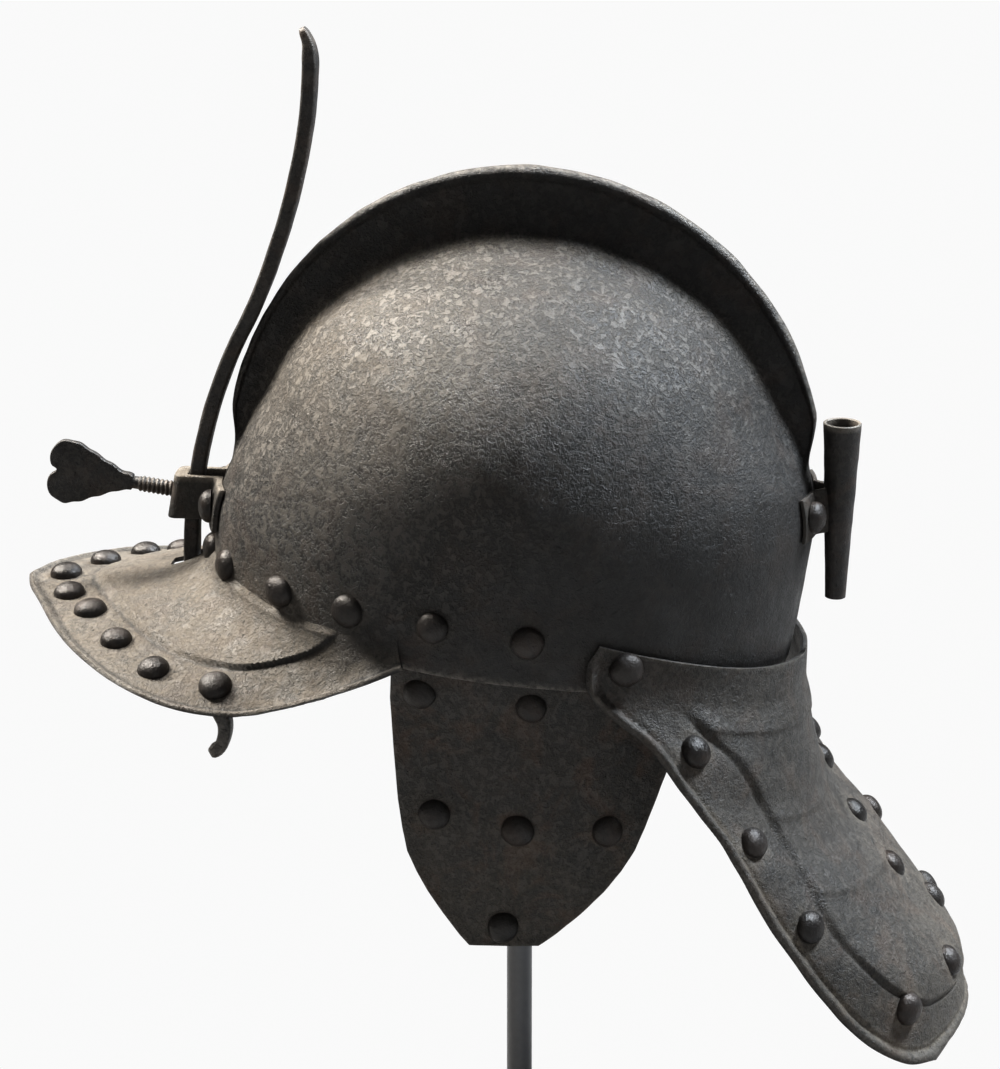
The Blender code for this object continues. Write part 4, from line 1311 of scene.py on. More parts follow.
    def build(self) -> None:
        """Builds the guard's plate and its rivets."""
        places = (np.linspace(0, 1, self.rows), np.linspace(-1, 1, self.columns))
        along, across = np.meshgrid(*places, indexing="ij")
        across = np.sign(across) * np.abs(across) ** 0.93
        sheet = self.surface(along, across)
        normals = calmed(grid_normals(sheet), 8)
        normals *= np.sign(normals[self.rows // 3, self.columns // 2, 1])
        top = sheet + normals * self.heights(along, across, sheet)[..., None]
        piece = woven("guard_plate", top)
        face_outwards(piece, lambda at: (at - np.array((0, 0.03, 0.15))) * np.array((1, 1, 0)))
        apply(piece, "SOLIDIFY", thickness=self.plate * 0.001, offset=-1.0, use_rim=True)
        self.paint_guard(piece)
        soften(piece, 50)
        dress(piece, self.finishes.guard, Body.HELMET, ["neck_guard"])
        places, ways = self.rivet_places(self.rivet_spots)
        self.rivets.heads("guard_rivets", places, ways, Body.HELMET, seed=9)
        for word, side in (("left", 1), ("right", -1)):
            centre, way = self.pivot(side)
            stands_for = [f"neck_pivot_{word}"]
            self.rivets.heads(f"pivot_head_{word}", [centre], [way], Body.HELMET, stands_for, 1.08, 3)

    def rivet_places(self, spots: Iterable[tuple[float, float]]) -> tuple[Array, Array]:
        """Places and ways of rivets given as places along and across."""
        along, across = (np.array([spot[column] for spot in spots]) for column in range(2))
        ahead = self.surface(along + 0.004, across) - self.surface(along - 0.004, across)
        aside = self.surface(along, across + 0.004) - self.surface(along, across - 0.004)
        ways = np.cross(ahead, aside)
        ways /= np.linalg.norm(ways, axis=1, keepdims=True)
        places = self.surface(along, across)
        outward = places * np.array((1, 0, 0)) + np.array((0, 0.2, 0.1)) * 60
        ways *= np.sign((ways * outward).sum(axis=1, keepdims=True))
        return places, ways

    def pivot(self, side: int) -> tuple[Array, Array]:
        """The side rivet that holds the guard to the bowl, where the CAD has it."""
        tries = (np.linspace(0.03, 0.14, 12), side * np.linspace(0.8, 0.9, 11))
        along, across = np.meshgrid(*tries, indexing="ij")
        points = self.surface(along, across)
        away = np.hypot(points[..., 1] - self.pivot_spot[0], points[..., 2] - self.pivot_spot[1])
        best = np.unravel_index(np.argmin(away), along.shape)
        places, ways = self.rivet_places([(along[best], across[best])])
        return places[0] + ways[0] * 0.5, ways[0]

    def paint_guard(self, piece: bpy.types.Object) -> None:
        """Paints dust in the corners, wear on the roll and rust low down, with painted shade on the inner
        face and on the top under the bowl's edge.
        """
        points, normals = places_of(piece)
        outward = points * np.array((1, 0, 0)) + np.array((0, 40, 0))
        outside = smooth(((normals * outward).sum(axis=1) + 5) / 25)
        away = distances(points, self.outline())
        rivets, _ = self.rivet_places(self.rivet_spots)
        ring = nearness(points, rivets, 11.5)
        low = smooth((-150 - points[:, 2]) / 70)
        right = smooth((30 - points[:, 0]) / 60) * smooth((-110 - points[:, 2]) / 60)
        gutter = nearness_band(away, 5.6, 1.8)
        corner = gutter * smooth((-70 - points[:, 2]) / 60)
        paint(piece, "dust", outside * (0.75 * ring + 0.20 * low + 0.70 * corner + 0.25 * right + 0.06))
        # Painted shade: the inner face and the top, under the bowl's edge, are darkened; a thin band
        # along the very edge is darker too.
        shaded_collar = smooth((points[:, 2] + 95) / 40)
        brink = nearness_band(away, 0.4, 1.2)
        paint(piece, "painted_shade_and_grime", 0.5 * (1 - outside) + 0.3 * shaded_collar + 0.35 * brink)
        paint(piece, "wear", 0.28 * nearness_band(away, 2.0, 0.9) + 0.7 * self.top_edge(points))
        paint(piece, "flake", 0.3 * outside)
        paint(piece, "rust", 0.45 * low + 0.35 * ring + 0.3 * gutter)

    def top_edge(self, points: Array) -> Array:
        """How near each point lies to the top edge."""
        across = np.linspace(-1, 1, 200)
        return nearness(points, self.surface(np.zeros_like(across), across), 1.0)


@dataclass
class CheekPiece:
    """One hanging cheek piece."""

    finishes: Finishes
    rivets: RivetMaker
    side: int = 1
    rows: int = 150
    columns: int = 96
    plate: float = 1.5
    half_width: float = 84.5
    lean: float = 0.055
    table: Array = field(
        default_factory=lambda: np.array(
            [
                (-52, -36, 58),
                (-60, -38.5, 63),
                (-70, -39.2, 66),
                (-86, -38.5, 66.5),
                (-101, -37.5, 64.7),
                (-112, -36.8, 61),
                (-124.5, -35, 56.5),
                (-133, -33.3, 53),
                (-141, -29.8, 48),
                (-149, -25.5, 41.7),
                (-158, -19.3, 32.6),
                (-166.5, -13, 22.4),
                (-170.5, -9.5, 17),
            ],
            float,
        )
    )
    rivet_spots: tuple[tuple[float, float], ...] = (
        (-67, -27.4),
        (-71.6, 14.9),
        (-117.3, -22.6),
        (-122.7, 9.5),
        (-124.2, 42.9),
        (-162.9, 3.5),
    )

    def surface(self, along: Array, across: Array) -> Array:
        """The left piece's outer sheet.

        Args:
            along: 0 at the top to 1 at the point.
            across: 0 at the front to 1 at the rear.

        Returns:
            Points in millimetres.
        """
        places = np.linspace(0, 1, len(self.table))
        z, front, rear = (np.interp(along, places, self.table[:, column]) for column in range(3))
        y = front + (rear - front) * across
        width = self.half_width + self.lean * (z - self.table[0, 0])
        x = width * np.sqrt(1 - ((y / 117.5 + 0.08) / 0.955) ** 2)
        wall = FORM.wall_x(y, z) - PLATE - 1.0
        x = x + (wall - x) * smooth((z + 80) / 23)
        return np.stack([x, y, z], axis=-1)

    def outline(self) -> Array:
        """Points along the front, rear and lower edges."""
        along, across = np.linspace(0, 1, 300), np.linspace(0, 1, 60)
        sides = [self.surface(along, np.full_like(along, end)) for end in (0.0, 1.0)]
        return np.concatenate([*sides, self.surface(np.ones_like(across), across)])

    def build(self) -> None:
        """Builds the plate and its rivets."""
        word = "left" if self.side > 0 else "right"
        steps = (np.linspace(0, 1, self.rows), np.linspace(0, 1, self.columns))
        along, across = np.meshgrid(*steps, indexing="ij")
        sheet = self.surface(along, across)
        normals = grid_normals(sheet)
        normals *= np.sign(normals[self.rows // 2, self.columns // 2, 0])
        away = distances(sheet.reshape(-1, 3), self.outline()).reshape(along.shape)
        turned = 0.75 * nearness_band(away, 0.0, 1.5) * smooth((along - 0.12) / 0.1)
        turned -= 0.35 * nearness_band(away, 5.2, 2.0) * smooth((along - 0.45) / 0.15)
        swell = 0.28 * unevenness(sheet, 22.0, 31) + 0.12 * unevenness(sheet, 8.0, 32)
        swell *= smooth((along - 0.1) / 0.15)
        mirror = np.array((self.side, 1, 1))
        piece = woven(f"cheek_plate_{word}", (sheet + normals * (turned + swell)[..., None]) * mirror)
        face_outwards(piece, lambda at: at * np.array((1, 0, 0)))
        apply(piece, "SOLIDIFY", thickness=self.plate * 0.001, offset=-1.0, use_rim=True)
        places, ways = self.rivet_places()
        self.paint_cheek(piece, places * mirror)
        soften(piece, 50)
        dress(piece, self.finishes.cheek, Body.HELMET, [f"cheek_piece_{word}"])
        name = f"cheek_rivets_{word}"
        self.rivets.heads(name, places * mirror, ways * mirror, Body.HELMET, size=0.97, seed=12)

    def rivet_places(self) -> tuple[Array, Array]:
        """The left piece's rivets and their ways."""
        places, ways = [], []
        for z, y in self.rivet_spots:
            knots = -self.table[:, 0]
            front, rear = (np.interp(-z, knots, self.table[:, column]) for column in (1, 2))
            along = np.interp(-z, knots, np.linspace(0, 1, len(self.table)))
            place = self.surface(np.array(along), np.array((y - front) / (rear - front)))
            way = np.array((1.0, 0.35 * place[1] / 117.5, 0.06))
            places.append(place)
            ways.append(way / np.linalg.norm(way))
        return np.array(places), np.array(ways)

    def paint_cheek(self, piece: bpy.types.Object, rivets: Array) -> None:
        """Paints the rusty middle, the dusty lower part and the worn edge, with painted shade on the
        inner face and on the top under the bowl's edge.
        """
        points, normals = places_of(piece)
        outside = smooth((normals[:, 0] * self.side + 0.2) / 0.5)
        outline = self.outline() * np.array((self.side, 1, 1))
        away = distances(points, outline)
        ring = nearness(points, rivets, 11.0)
        low = smooth((-95 - points[:, 2]) / 70)
        paint(piece, "dust", outside * (0.20 * low + 0.25 * ring + 0.06))
        # Painted shade: the inner face and the top, under the bowl's edge, are darkened.
        paint(piece, "painted_shade_and_grime", 0.35 * (1 - outside) + 0.45 * smooth((points[:, 2] + 82) / 18))
        paint(piece, "wear", 0.30 * nearness_band(away, 0.4, 0.8) * outside)
        paint(piece, "flake", 0.35 * outside)
        paint(piece, "rust", outside * (0.25 + 0.35 * low) + 0.3 * ring)


# ---------------------------------------------------------------------------
# The nasal bar, its bracket and its screw


@dataclass
class NasalBar:
    """The long curved bar that guards the face."""

    finishes: Finishes
    width: float = 9.0
    depth: float = 6.0
    centre: tuple[float, float] = (82.0, -42.0)
    radius: float = 212.4
    top: Array = field(
        default_factory=lambda: np.array(
            [
                (-84.4, 171.0),
                (-82.0, 165.5),
                (-81.3, 159.0),
                (-81.4, 150.0),
                (-82.6, 135.4),
                (-85.6, 119.4),
                (-89.2, 103.5),
                (-93.9, 87.4),
                (-99.3, 72.5),
            ]
        )
    )
    curl: Array = field(
        default_factory=lambda: np.array(
            [
                (-118.2, -111.0),
                (-118.6, -117.0),
                (-120.6, -121.3),
                (-124.0, -123.5),
            ]
        )
    )

    def arc(self, z: Array) -> Array:
        """The bar's middle in Y at heights of its arc."""
        return self.centre[0] - np.sqrt(self.radius**2 - (z - self.centre[1]) ** 2)

    def line(self, count: int) -> Array:
        """The bar's middle line from the top down.

        Args:
            count: How many points.

        Returns:
            Points (count, 2) of Y and Z.
        """
        heights = np.linspace(62.0, -104.0, 13)
        arc = np.stack([self.arc(heights), heights], axis=1)
        knots = np.concatenate([self.top, arc, self.curl])
        steps = np.concatenate([[0], np.cumsum(np.linalg.norm(np.diff(knots, axis=0), axis=1))])
        at = np.linspace(0, steps[-1], count)
        line = np.stack([flowing(at, steps, knots[:, column]) for column in range(2)], axis=1)
        wide = np.pad(line, ((10, 10), (0, 0)), mode="edge")
        calm = [np.convolve(wide[:, column], np.ones(21) / 21, "valid") for column in range(2)]
        share = smooth((line[:, 1:] - 46) / 12) * smooth((158 - line[:, 1:]) / 8)
        return line + (np.stack(calm, axis=1) - line) * share

    def build(self) -> None:
        """Sweeps the bar's rounded section along its line."""
        line = self.line(260)
        ahead = np.gradient(line, axis=0)
        ahead /= np.linalg.norm(ahead, axis=1, keepdims=True)
        angle = np.linspace(0, 2 * np.pi, 32, endpoint=False)
        flat, thick = (np.sign(wave) * np.abs(wave) ** 0.42 for wave in (np.cos(angle), np.sin(angle)))
        at = np.linspace(0, 1, len(line))
        tip = 0.58 + 0.42 * smooth(at / 0.045)
        tip *= 1 - 0.12 * smooth((at - 0.93) / 0.05)
        tip *= 1 - 0.35 * (1 - smooth(at / 0.006)) - 0.25 * smooth((at - 0.995) / 0.005)
        x = flat[None] * (self.width / 2 * tip)[:, None]
        deep = thick[None] * (self.depth / 2 * tip)[:, None]
        y = line[:, :1] + deep * -ahead[:, 1:]
        z = line[:, 1:] + deep * ahead[:, :1]
        sheet = np.stack([x, y, z], axis=-1)
        sheet += 0.16 * unevenness(sheet, 11.0, 41)[..., None] * np.array((1.0, 0.7, 0))
        sheet += 0.06 * unevenness(sheet, 4.0, 42)[..., None] * np.array((1.0, 0.7, 0))
        piece = woven("face_bar_iron", sheet, closed=True, ends=True)
        points, normals = places_of(piece)
        ends = smooth((points[:, 2] - 158) / 10) + smooth((-104 - points[:, 2]) / 12)
        corner = nearness_band(np.abs(normals[:, 0]), 0.7, 0.22)
        paint(piece, "dust", 0.16 * ends)
        paint(piece, "wear", 0.32 * corner + 0.35 * ends)
        paint(piece, "rust", 0.3 + 0.3 * ends)
        paint(piece, "flake", np.full(len(points), 0.2))
        paint(piece, "painted_shade_and_grime", np.zeros(len(points)))
        soften(piece, 60)
        dress(piece, self.finishes.bar, Body.BAR, ["nasal_bar"])


@dataclass
class Bracket:
    """The strap on two feet that holds the bar, with the screw's bore."""

    finishes: Finishes
    rivets: RivetMaker
    bar: NasalBar
    low: float = -24.8
    high: float = -7.2
    strap: float = 2.4
    front: float = 5.2
    tilt: float = 0.17
    foot: tuple[float, float] = (17.0, -16.3)

    def section(self, z: float) -> Array:
        """The strap's plan at a height, as a closed loop of X and Y.

        Args:
            z: The height in millimetres.

        Returns:
            Points (count, 2), outside first.
        """
        middle_z = (self.low + self.high) / 2
        inner = self.bar.width / 2 + 0.5
        bar_front = float(self.bar.arc(np.array(middle_z))) - self.bar.depth / 2
        face = bar_front - 0.6 + self.tilt * (z - middle_z)
        end = self.foot[0] + 8.6
        wall = [(x, FORM.wall_y(x, z, -1)) for x in np.linspace(end, inner + self.strap + 1.4, 6)]
        back = [(x, y - GAP) for x, y in wall]
        front = [(x, y - GAP - self.strap) for x, y in wall]
        corner = FORM.wall_y(inner, z, -1) - GAP
        back += [(inner + 0.3, corner), (inner, corner - 2.0), (inner, face + 1.3)]
        back += [(inner - 0.6, face + 0.35), (inner - 1.6, face)]
        out = inner + self.strap
        bend = corner - self.strap
        front += [(out + 0.25, bend - 0.5), (out, bend - 1.6), (out, face + 1.0)]
        front += [(out + 0.25, face - 0.4 * self.front), (out - 0.3, face - 0.7 * self.front)]
        front += [(out - 1.3, face - 0.9 * self.front), (out - 2.9, face - self.front)]
        front += [(1.0, face - self.front - 0.15)]
        outside = front + [(-x, y) for x, y in front[::-1]]
        inside = back + [(-x, y) for x, y in back[::-1]]
        return np.array(outside + inside[::-1])

    def build(self) -> None:
        """Builds the strap, bores it and softens its edges."""
        rows = []
        for z in np.linspace(self.low, self.high, 7):
            plan = self.section(float(z))
            rows.append(np.concatenate([plan, np.full((len(plan), 1), z)], axis=1))
        piece = woven("bracket_strap", np.array(rows), closed=True, ends=True)
        rounded(piece, 0.0006, 3, 40)
        seat = np.array(SCREW_SEAT)
        deselect()
        bpy.ops.mesh.primitive_cylinder_add(
            vertices=40,
            radius=0.0036,
            depth=0.03,
            location=tuple(metres(seat)),
            rotation=(math.pi / 2 - SCREW_TILT, 0, 0),
        )
        cut(piece, named("bore_cutter"))
        points, normals = places_of(piece)
        top = smooth((points[:, 2] + 9.5) / 2.0)
        paint(piece, "dust", 0.75 * top + 0.12)
        paint(piece, "wear", 0.55 * top + 0.2 * nearness_band(np.abs(normals[:, 2]), 0.6, 0.3))
        paint(piece, "painted_shade_and_grime", 0.35 * (1 - top))
        paint(piece, "flake", np.full(len(points), 0.15))
        paint(piece, "rust", np.full(len(points), 0.3))
        soften(piece, 35)
        dress(piece, self.finishes.guard, Body.HELMET, ["nasal_bracket"])
        for word, side in (("left", 1), ("right", -1)):
            x, z = self.foot
            y = FORM.wall_y(x, z, -1) - 2 * GAP - self.strap - 0.1
            centre, way = np.array((x * side, y, z)), (0.12 * side, -1.0, 0.0)
            stands_for = [f"bracket_rivet_{word}"]
            self.rivets.heads(f"bracket_head_{word}", [centre], [way], Body.HELMET, stands_for, 1.0, 15)


@dataclass
class ThumbScrew:
    """The clamping screw with its heart-shaped thumb plate."""

    finishes: Finishes
    radius: float = 3.2
    pitch: float = 1.8
    turns: int = 11
    tilt: float = SCREW_TILT
    heart_length: float = 34.0
    heart_thickness: float = 3.0
    outline: Array = field(
        default_factory=lambda: np.array(
            [
                (0.00, 0.085),
                (0.12, 0.11),
                (0.28, 0.18),
                (0.46, 0.265),
                (0.66, 0.355),
                (0.80, 0.378),
                (0.92, 0.33),
                (0.985, 0.24),
                (1.0, 0.15),
                (0.975, 0.06),
                (0.90, 0.0),
            ]
        )
    )

    def build(self, bar: NasalBar) -> None:
        """Builds the threaded shank and the plate, and joins them.

        Args:
            bar: The bar that the screw presses on.
        """
        axis = np.array((0.0, -math.cos(self.tilt), math.sin(self.tilt)))
        up = np.array((0.0, axis[2], -axis[1]))
        seat = np.array(SCREW_SEAT)
        front = float(bar.arc(np.array(seat[2]))) - bar.depth / 2 - 0.4
        start = seat + axis * (front - seat[1]) / axis[1]
        shank = self.shank(start, axis, up)
        base = start + axis * (self.turns * self.pitch + 2.0)
        plate = self.plate(base, axis, up)
        deselect()
        shank.select_set(True)
        plate.select_set(True)
        bpy.context.view_layer.objects.active = shank
        bpy.ops.object.join()
        piece = named("clamp_screw_iron")
        points, normals = places_of(piece)
        away = (points - start) @ axis
        thread = smooth((self.turns * self.pitch - away) / 2)
        beside = np.linalg.norm(np.cross(points - start, axis), axis=1)
        crest = smooth((beside - 0.86 * self.radius) / 0.5)
        paint(piece, "dust", 0.30 * thread * (1 - crest))
        edge = nearness_band(np.abs(normals[:, 0]), 0.55, 0.25)
        paint(piece, "wear", 0.75 * thread * crest + 0.35 * edge * (1 - thread))
        paint(piece, "painted_shade_and_grime", 0.2 * (1 - thread))
        paint(piece, "flake", 0.25 * (1 - thread))
        paint(piece, "rust", np.full(len(points), 0.4))
        soften(piece, 38)
        dress(piece, self.finishes.bar, Body.SCREW, ["thumb_screw"])

    def shank(self, start: Array, axis: Array, up: Array) -> bpy.types.Object:
        """The shank with a true helical thread."""
        length = self.turns * self.pitch + 4.5
        along = np.linspace(0, length, 240)
        angle = np.linspace(0, 2 * np.pi, 30, endpoint=False)
        far, round_ = np.meshgrid(along, angle, indexing="ij")
        phase = (far / self.pitch - round_ / (2 * np.pi)) % 1.0
        ridge = 1 - np.abs(2 * phase - 1) ** 1.3
        ridge = ridge * smooth(far / 1.5) * smooth((self.turns * self.pitch - far) / 1.5)
        radius = self.radius * (0.78 + 0.22 * ridge)
        side = np.array((1.0, 0, 0))
        sheet = start + far[..., None] * axis
        spoke = np.cos(round_)[..., None] * side + np.sin(round_)[..., None] * up
        sheet = sheet + radius[..., None] * spoke
        return woven("screw_shank", sheet, closed=True, ends=True)

    def plate(self, base: Array, axis: Array, up: Array) -> bpy.types.Object:
        """The heart-shaped plate, thicker at its neck."""
        knots = np.concatenate([self.outline, self.outline[-2::-1] * np.array((1, -1))])
        steps = np.concatenate([[0], np.cumsum(np.linalg.norm(np.diff(knots, axis=0), axis=1))])
        at = np.linspace(0, steps[-1], 90)
        shape = np.stack([flowing(at, steps, knots[:, column]) for column in range(2)], axis=1)
        shape = shape * self.heart_length
        shape[:, 1] += 0.25 * np.sin(shape[:, 0] * 0.9)
        rings = []
        for depth in (-1.0, 1.0):
            neck = 1 + 0.5 * (1 - smooth(shape[:, 0] / 8))
            place = base + shape[:, :1] * axis + shape[:, 1:] * up
            rings.append(place + np.outer(neck * depth * self.heart_thickness / 2, (1.0, 0, 0)))
        piece = woven("heart_plate", np.array(rings), closed=True, ends=True)
        rounded(piece, 0.0007, 3, 50)
        return piece


# ---------------------------------------------------------------------------
# The plume holder and the stand


def lathe(
    name: str,
    start: Array,
    axis: Array,
    profile: Sequence[tuple[float, float]],
    steps: int = 56,
) -> bpy.types.Object:
    """Turns a profile about an axis with the spin operator.

    Args:
        name: The piece's name.
        start: Where the axis starts, in helmet millimetres.
        axis: Its direction.
        profile: Pairs of distance and radius in millimetres, from axis to axis.
        steps: Steps round.

    Returns:
        The turned piece.
    """
    rows = [(radius * 0.001, 0.0, far * 0.001) for far, radius in profile]
    deselect()
    bpy.ops.mesh.primitive_grid_add(x_subdivisions=1, y_subdivisions=len(rows) - 1, size=0.001)
    piece = named(name)
    bpy.ops.object.mode_set(mode="EDIT")
    mesh = bmesh.from_edit_mesh(piece.data)
    mesh.verts.ensure_lookup_table()
    spare = [vert for index, vert in enumerate(mesh.verts) if index % 2]
    kept = [vert for index, vert in enumerate(mesh.verts) if index % 2 == 0]
    bmesh.ops.delete(mesh, geom=spare, context="VERTS")
    for vert, place in zip(kept, rows):
        vert.co = place
    bmesh.update_edit_mesh(piece.data)
    bpy.ops.mesh.select_all(action="SELECT")
    bpy.ops.mesh.spin(steps=steps, angle=2 * math.pi, center=(0, 0, 0), axis=(0, 0, 1))
    bpy.ops.mesh.select_all(action="SELECT")
    bpy.ops.mesh.remove_doubles(threshold=1e-6)
    bpy.ops.mesh.normals_make_consistent(inside=False)
    bpy.ops.object.mode_set(mode="OBJECT")
    turn = Vector(axis).to_track_quat("Z", "Y").to_matrix().to_4x4()
    piece.data.transform(Matrix.Translation(Vector(metres(np.asarray(start, float)))) @ turn)
    return piece


@dataclass
class PlumeHolder:
    """The tapered tube for a plume, on its saddle foot."""

    finishes: Finishes
    rivets: RivetMaker
    top: tuple[float, float] = (125.6, 21.7)
    bottom: tuple[float, float] = (123.9, -48.9)
    top_radius: float = 7.4
    bottom_radius: float = 4.0
    wall: float = 1.2
    strap: float = 1.6
    foot: tuple[float, float] = (14.5, -12.6)

    def build(self) -> None:
        """Builds the tube, its foot and the foot's rivets."""
        start = np.array((0.0, *self.bottom))
        axis = np.array((0.0, *self.top)) - start
        length = float(np.linalg.norm(axis))
        axis /= length
        shares = np.linspace(0, 1, 26)
        flare = self.top_radius - self.bottom_radius
        outer = [(share * length, self.bottom_radius + flare * share) for share in shares]
        inner = [(far, radius - self.wall) for far, radius in outer[::-1] if far > 6.0]
        profile = [(0.0, 0.0), (0.0, self.bottom_radius - 0.5), (0.3, self.bottom_radius)] + outer[1:-1]
        profile += [(length - 0.3, self.top_radius), (length, self.top_radius - 0.35)]
        profile += [(length, self.top_radius - 0.8)]
        profile += [(length - 0.35, self.top_radius - self.wall)] + inner[1:] + [(6.0, 0.0)]
        tube = lathe("plume_tube", start, axis, profile)
        count = len(tube.data.vertices)
        points = np.empty(count * 3)
        tube.data.vertices.foreach_get("co", points)
        points = points.reshape(-1, 3)
        local = points * 1000 - np.array((0, 0, LIFT))
        points += 0.00012 * unevenness(local, 9.0, 51)[:, None] * np.array((1, 1, 0))
        tube.data.vertices.foreach_set("co", points.ravel())
        local, normals = places_of(tube)
        away = (local - start) @ axis
        lip = smooth((away - length + 1.0) / 0.8)
        spoke = local - start - away[:, None] * axis
        # Painted shade: the tube's inner wall below the lip is darkened.
        deep = smooth((length - 1.5 - away) / 3) * ((normals * spoke).sum(axis=1) < 0)
        paint(tube, "wear", 0.9 * lip)
        paint(tube, "dust", 0.7 * lip + 0.05)
        paint(tube, "painted_shade_and_grime", 0.9 * deep)
        paint(tube, "flake", np.full(count, 0.12))
        paint(tube, "rust", np.full(count, 0.25))
        soften(tube, 40)
        dress(tube, self.finishes.tube, Body.HELMET, ["plume_holder"])
        self.saddle()

    def saddle(self) -> None:
        """The bent foot behind the tube, with two rivets."""
        x, z = self.foot
        end = x + 8.2
        across = np.linspace(-end, end, 41)
        heights = np.linspace(z - 8.9, z + 8.9, 17)
        sheet = np.zeros((len(heights), len(across), 3))
        for row, height in enumerate(heights):
            for column, place in enumerate(across):
                bulge = 4.6 * smooth((8.5 - abs(place)) / 5.5)
                wall = FORM.wall_y(abs(place), height, 1)
                sheet[row, column] = (place, wall + GAP + self.strap + bulge, height)
        piece = woven("plume_saddle", sheet)
        face_outwards(piece, lambda at: np.array((0, 1.0, 0)) + 0 * at)
        apply(piece, "SOLIDIFY", thickness=self.strap * 0.001, offset=-1.0, use_rim=True)
        rounded(piece, 0.0004, 2, 50)
        count = len(piece.data.vertices)
        layers = {"wear": 0.1, "dust": 0.15, "painted_shade_and_grime": 0.2, "flake": 0.1, "rust": 0.3}
        for layer, amount in layers.items():
            paint(piece, layer, np.full(count, amount))
        soften(piece, 40)
        dress(piece, self.finishes.guard, Body.HELMET)
        for word, side in (("left", 1), ("right", -1)):
            y = FORM.wall_y(x, z, 1) + GAP * 2 + self.strap
            centre, way = (x * side, y, z), (0.12 * side, 1.0, 0.0)
            stands_for = [f"plume_rivet_{word}"]
            self.rivets.heads(f"plume_head_{word}", [centre], [way], Body.HELMET, stands_for, 1.0, 17)


@dataclass
class Stand:
    """The plain stand: disc, pole and rest."""

    finishes: Finishes
    base_radius: float = 95.0
    base_thickness: float = 8.0
    pole_radius: float = 5.0

    def build(self) -> None:
        """Builds the disc and the pole."""
        edge, thick = self.base_radius, self.base_thickness
        profile = [(0.0, 0.0), (0.0, edge - 0.6), (0.6, edge), (thick - 1.4, edge)]
        profile += [(thick - 0.5, edge - 0.45), (thick, edge - 1.5), (thick, edge * 0.6), (thick, 0.0)]
        base = lathe("stand_disc", np.array((0, 0, -LIFT)), np.array((0, 0, 1.0)), profile, 120)
        soften(base, 35)
        dress(base, self.finishes.stand, Body.HELMET, ["stand_base"])
        low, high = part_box("stand_pole")
        length = (high.z - low.z) * 1000
        start = np.array((0, 0, low.z * 1000 - LIFT))
        radius = self.pole_radius
        profile = [(0.0, 0.0), (0.0, radius), (length * 0.33, radius), (length * 0.66, radius)]
        profile += [(length, radius), (length, 0.0)]
        pole = lathe("stand_rod", start, np.array((0, 0, 1.0)), profile, 48)
        soften(pole, 35)
        dress(pole, self.finishes.stand, Body.HELMET, ["stand_pole"])


# ---------------------------------------------------------------------------
# The studio


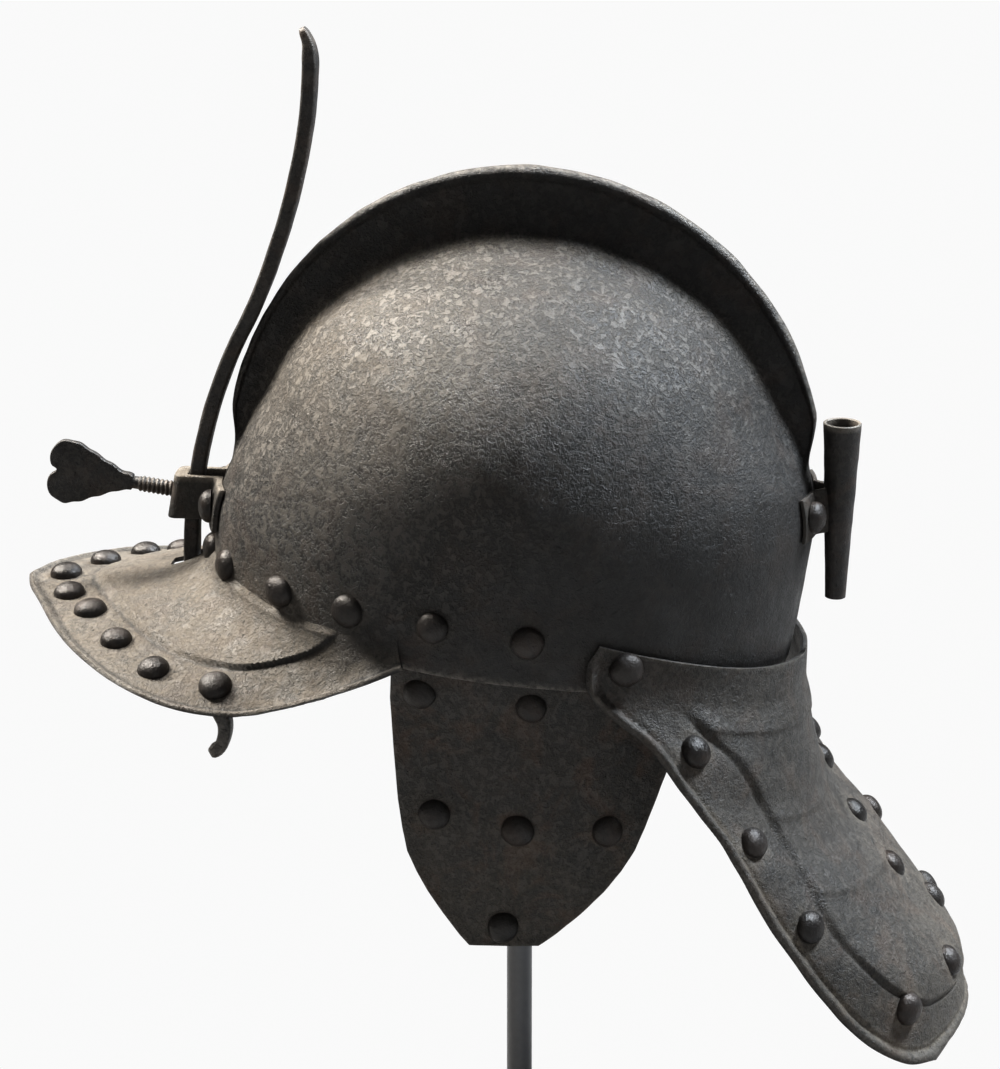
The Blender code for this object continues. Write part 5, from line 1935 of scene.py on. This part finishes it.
@dataclass
class Studio:
    """The camera at the photograph's place, soft light and a pale floor."""

    azimuth: float = 97.5
    elevation: float = 16.5
    distance: float = 2.2
    focal_pixels: float = 5641.0
    tall_pixels: float = 1069.0
    offset_pixels: tuple[float, float] = (20.0, 69.5)
    sensor: float = 36.0

    def camera(self) -> None:
        """Places the camera where the photograph was taken from."""
        side, up = math.radians(self.azimuth), math.radians(self.elevation)
        look = Vector((-math.sin(side) * math.cos(up), math.cos(side) * math.cos(up), -math.sin(up)))
        right = look.cross(Vector((0, 0, 1))).normalized()
        above = right.cross(look).normalized()
        target = Vector((0, 0, 0.300))
        pixel = self.distance / self.focal_pixels
        aim = target - right * self.offset_pixels[0] * pixel - above * self.offset_pixels[1] * pixel
        deselect()
        bpy.ops.object.camera_add(location=tuple(aim - look * self.distance))
        camera = bpy.context.object
        camera.name = "photo_camera"
        camera.rotation_euler = look.to_track_quat("-Z", "Y").to_euler()
        camera.data.sensor_width = self.sensor
        camera.data.sensor_fit = "AUTO"
        camera.data.lens = self.sensor * self.focal_pixels / self.tall_pixels
        camera.data.clip_end = 60.0
        bpy.context.scene.camera = camera

    def lamp(self, name: str, place: Triple, size: float, watts: float, colour: Triple) -> None:
        """Adds one soft lamp that looks at the helmet.

        Args:
            name: The lamp's name.
            place: Where it hangs, in metres.
            size: The side of its square, in metres.
            watts: Its power.
            colour: Its colour.
        """
        deselect()
        bpy.ops.object.light_add(type="AREA", location=place)
        lamp = bpy.context.object
        lamp.name = name
        lamp.data.size = size
        lamp.data.energy = watts
        lamp.data.color = colour
        way = Vector((0, 0, 0.30)) - Vector(place)
        lamp.rotation_euler = way.to_track_quat("-Z", "Y").to_euler()

    def floor(self) -> None:
        """Lays the pale floor, which shows white without lighting the helmet from below."""
        deselect()
        bpy.ops.mesh.primitive_plane_add(size=24.0, location=(0, 0, -0.0005))
        floor = named("pale_floor")
        bpy.ops.object.transform_apply(location=True, rotation=True, scale=True)
        material = bpy.data.materials.new("pale_floor")
        material.use_nodes = True
        nodes, links = material.node_tree.nodes, material.node_tree.links
        shader = nodes["Principled BSDF"]
        shader.inputs["Base Color"].default_value = (0.22, 0.22, 0.22, 1.0)
        shader.inputs["Roughness"].default_value = 1.0
        glow = nodes.new("ShaderNodeEmission")
        glow.inputs["Color"].default_value = (1.0, 1.0, 1.0, 1.0)
        glow.inputs["Strength"].default_value = 0.96
        path = nodes.new("ShaderNodeLightPath")
        mix = nodes.new("ShaderNodeMixShader")
        links.new(path.outputs["Is Camera Ray"], mix.inputs["Fac"])
        links.new(shader.outputs["BSDF"], mix.inputs[1])
        links.new(glow.outputs["Emission"], mix.inputs[2])
        links.new(mix.outputs["Shader"], nodes["Material Output"].inputs["Surface"])
        floor.data.materials.append(material)

    def light(self) -> None:
        """Sets the soft sky and the lamps."""
        world = bpy.data.worlds.new("soft_sky")
        bpy.context.scene.world = world
        world.use_nodes = True
        shade = world.node_tree.nodes["Background"]
        shade.inputs["Color"].default_value = (0.93, 0.96, 1.0, 1.0)
        shade.inputs["Strength"].default_value = 0.10
        self.lamp("front_high", (-0.45, -1.30, 1.65), 0.6, 112.0, (1.0, 0.96, 0.89))
        self.lamp("top_soft", (-0.55, -0.25, 2.05), 0.7, 40.0, (1.0, 0.97, 0.93))
        self.lamp("rear_high", (-0.40, 1.05, 1.70), 0.45, 88.0, (0.84, 0.92, 1.0))
        self.lamp("side_soft", (2.2, 0.2, 0.9), 1.4, 4.6, (1.0, 0.98, 0.96))

    def build(self) -> None:
        """Sets the whole studio."""
        bpy.context.scene.view_settings.view_transform = "Standard"
        bpy.context.scene.view_settings.gamma = 0.85
        self.camera()
        self.light()
        self.floor()


def main() -> None:
    """Builds the studio and every piece."""
    logging.basicConfig(level=logging.INFO, format="%(name)s: %(message)s")
    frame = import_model()
    Studio().build()
    finishes = Finishes()
    rivets = RivetMaker(finishes)
    Skull(finishes, rivets).build()
    Peak(finishes, rivets).build()
    NeckGuard(finishes, rivets).build()
    CheekPiece(finishes, rivets, side=1).build()
    CheekPiece(finishes, rivets, side=-1).build()
    bar = NasalBar(finishes)
    bar.build()
    Bracket(finishes, rivets, bar).build()
    ThumbScrew(finishes).build(bar)
    PlumeHolder(finishes, rivets).build()
    Stand(finishes).build()
    rivets.clear()
    rest = frame["nodes"]["stand_rest"]
    rest.data.materials.clear()
    rest.data.materials.append(finishes.stand)
    bpy.context.view_layer.update()
    LOG.info("boxes written")


if __name__ == "__main__":
    main()
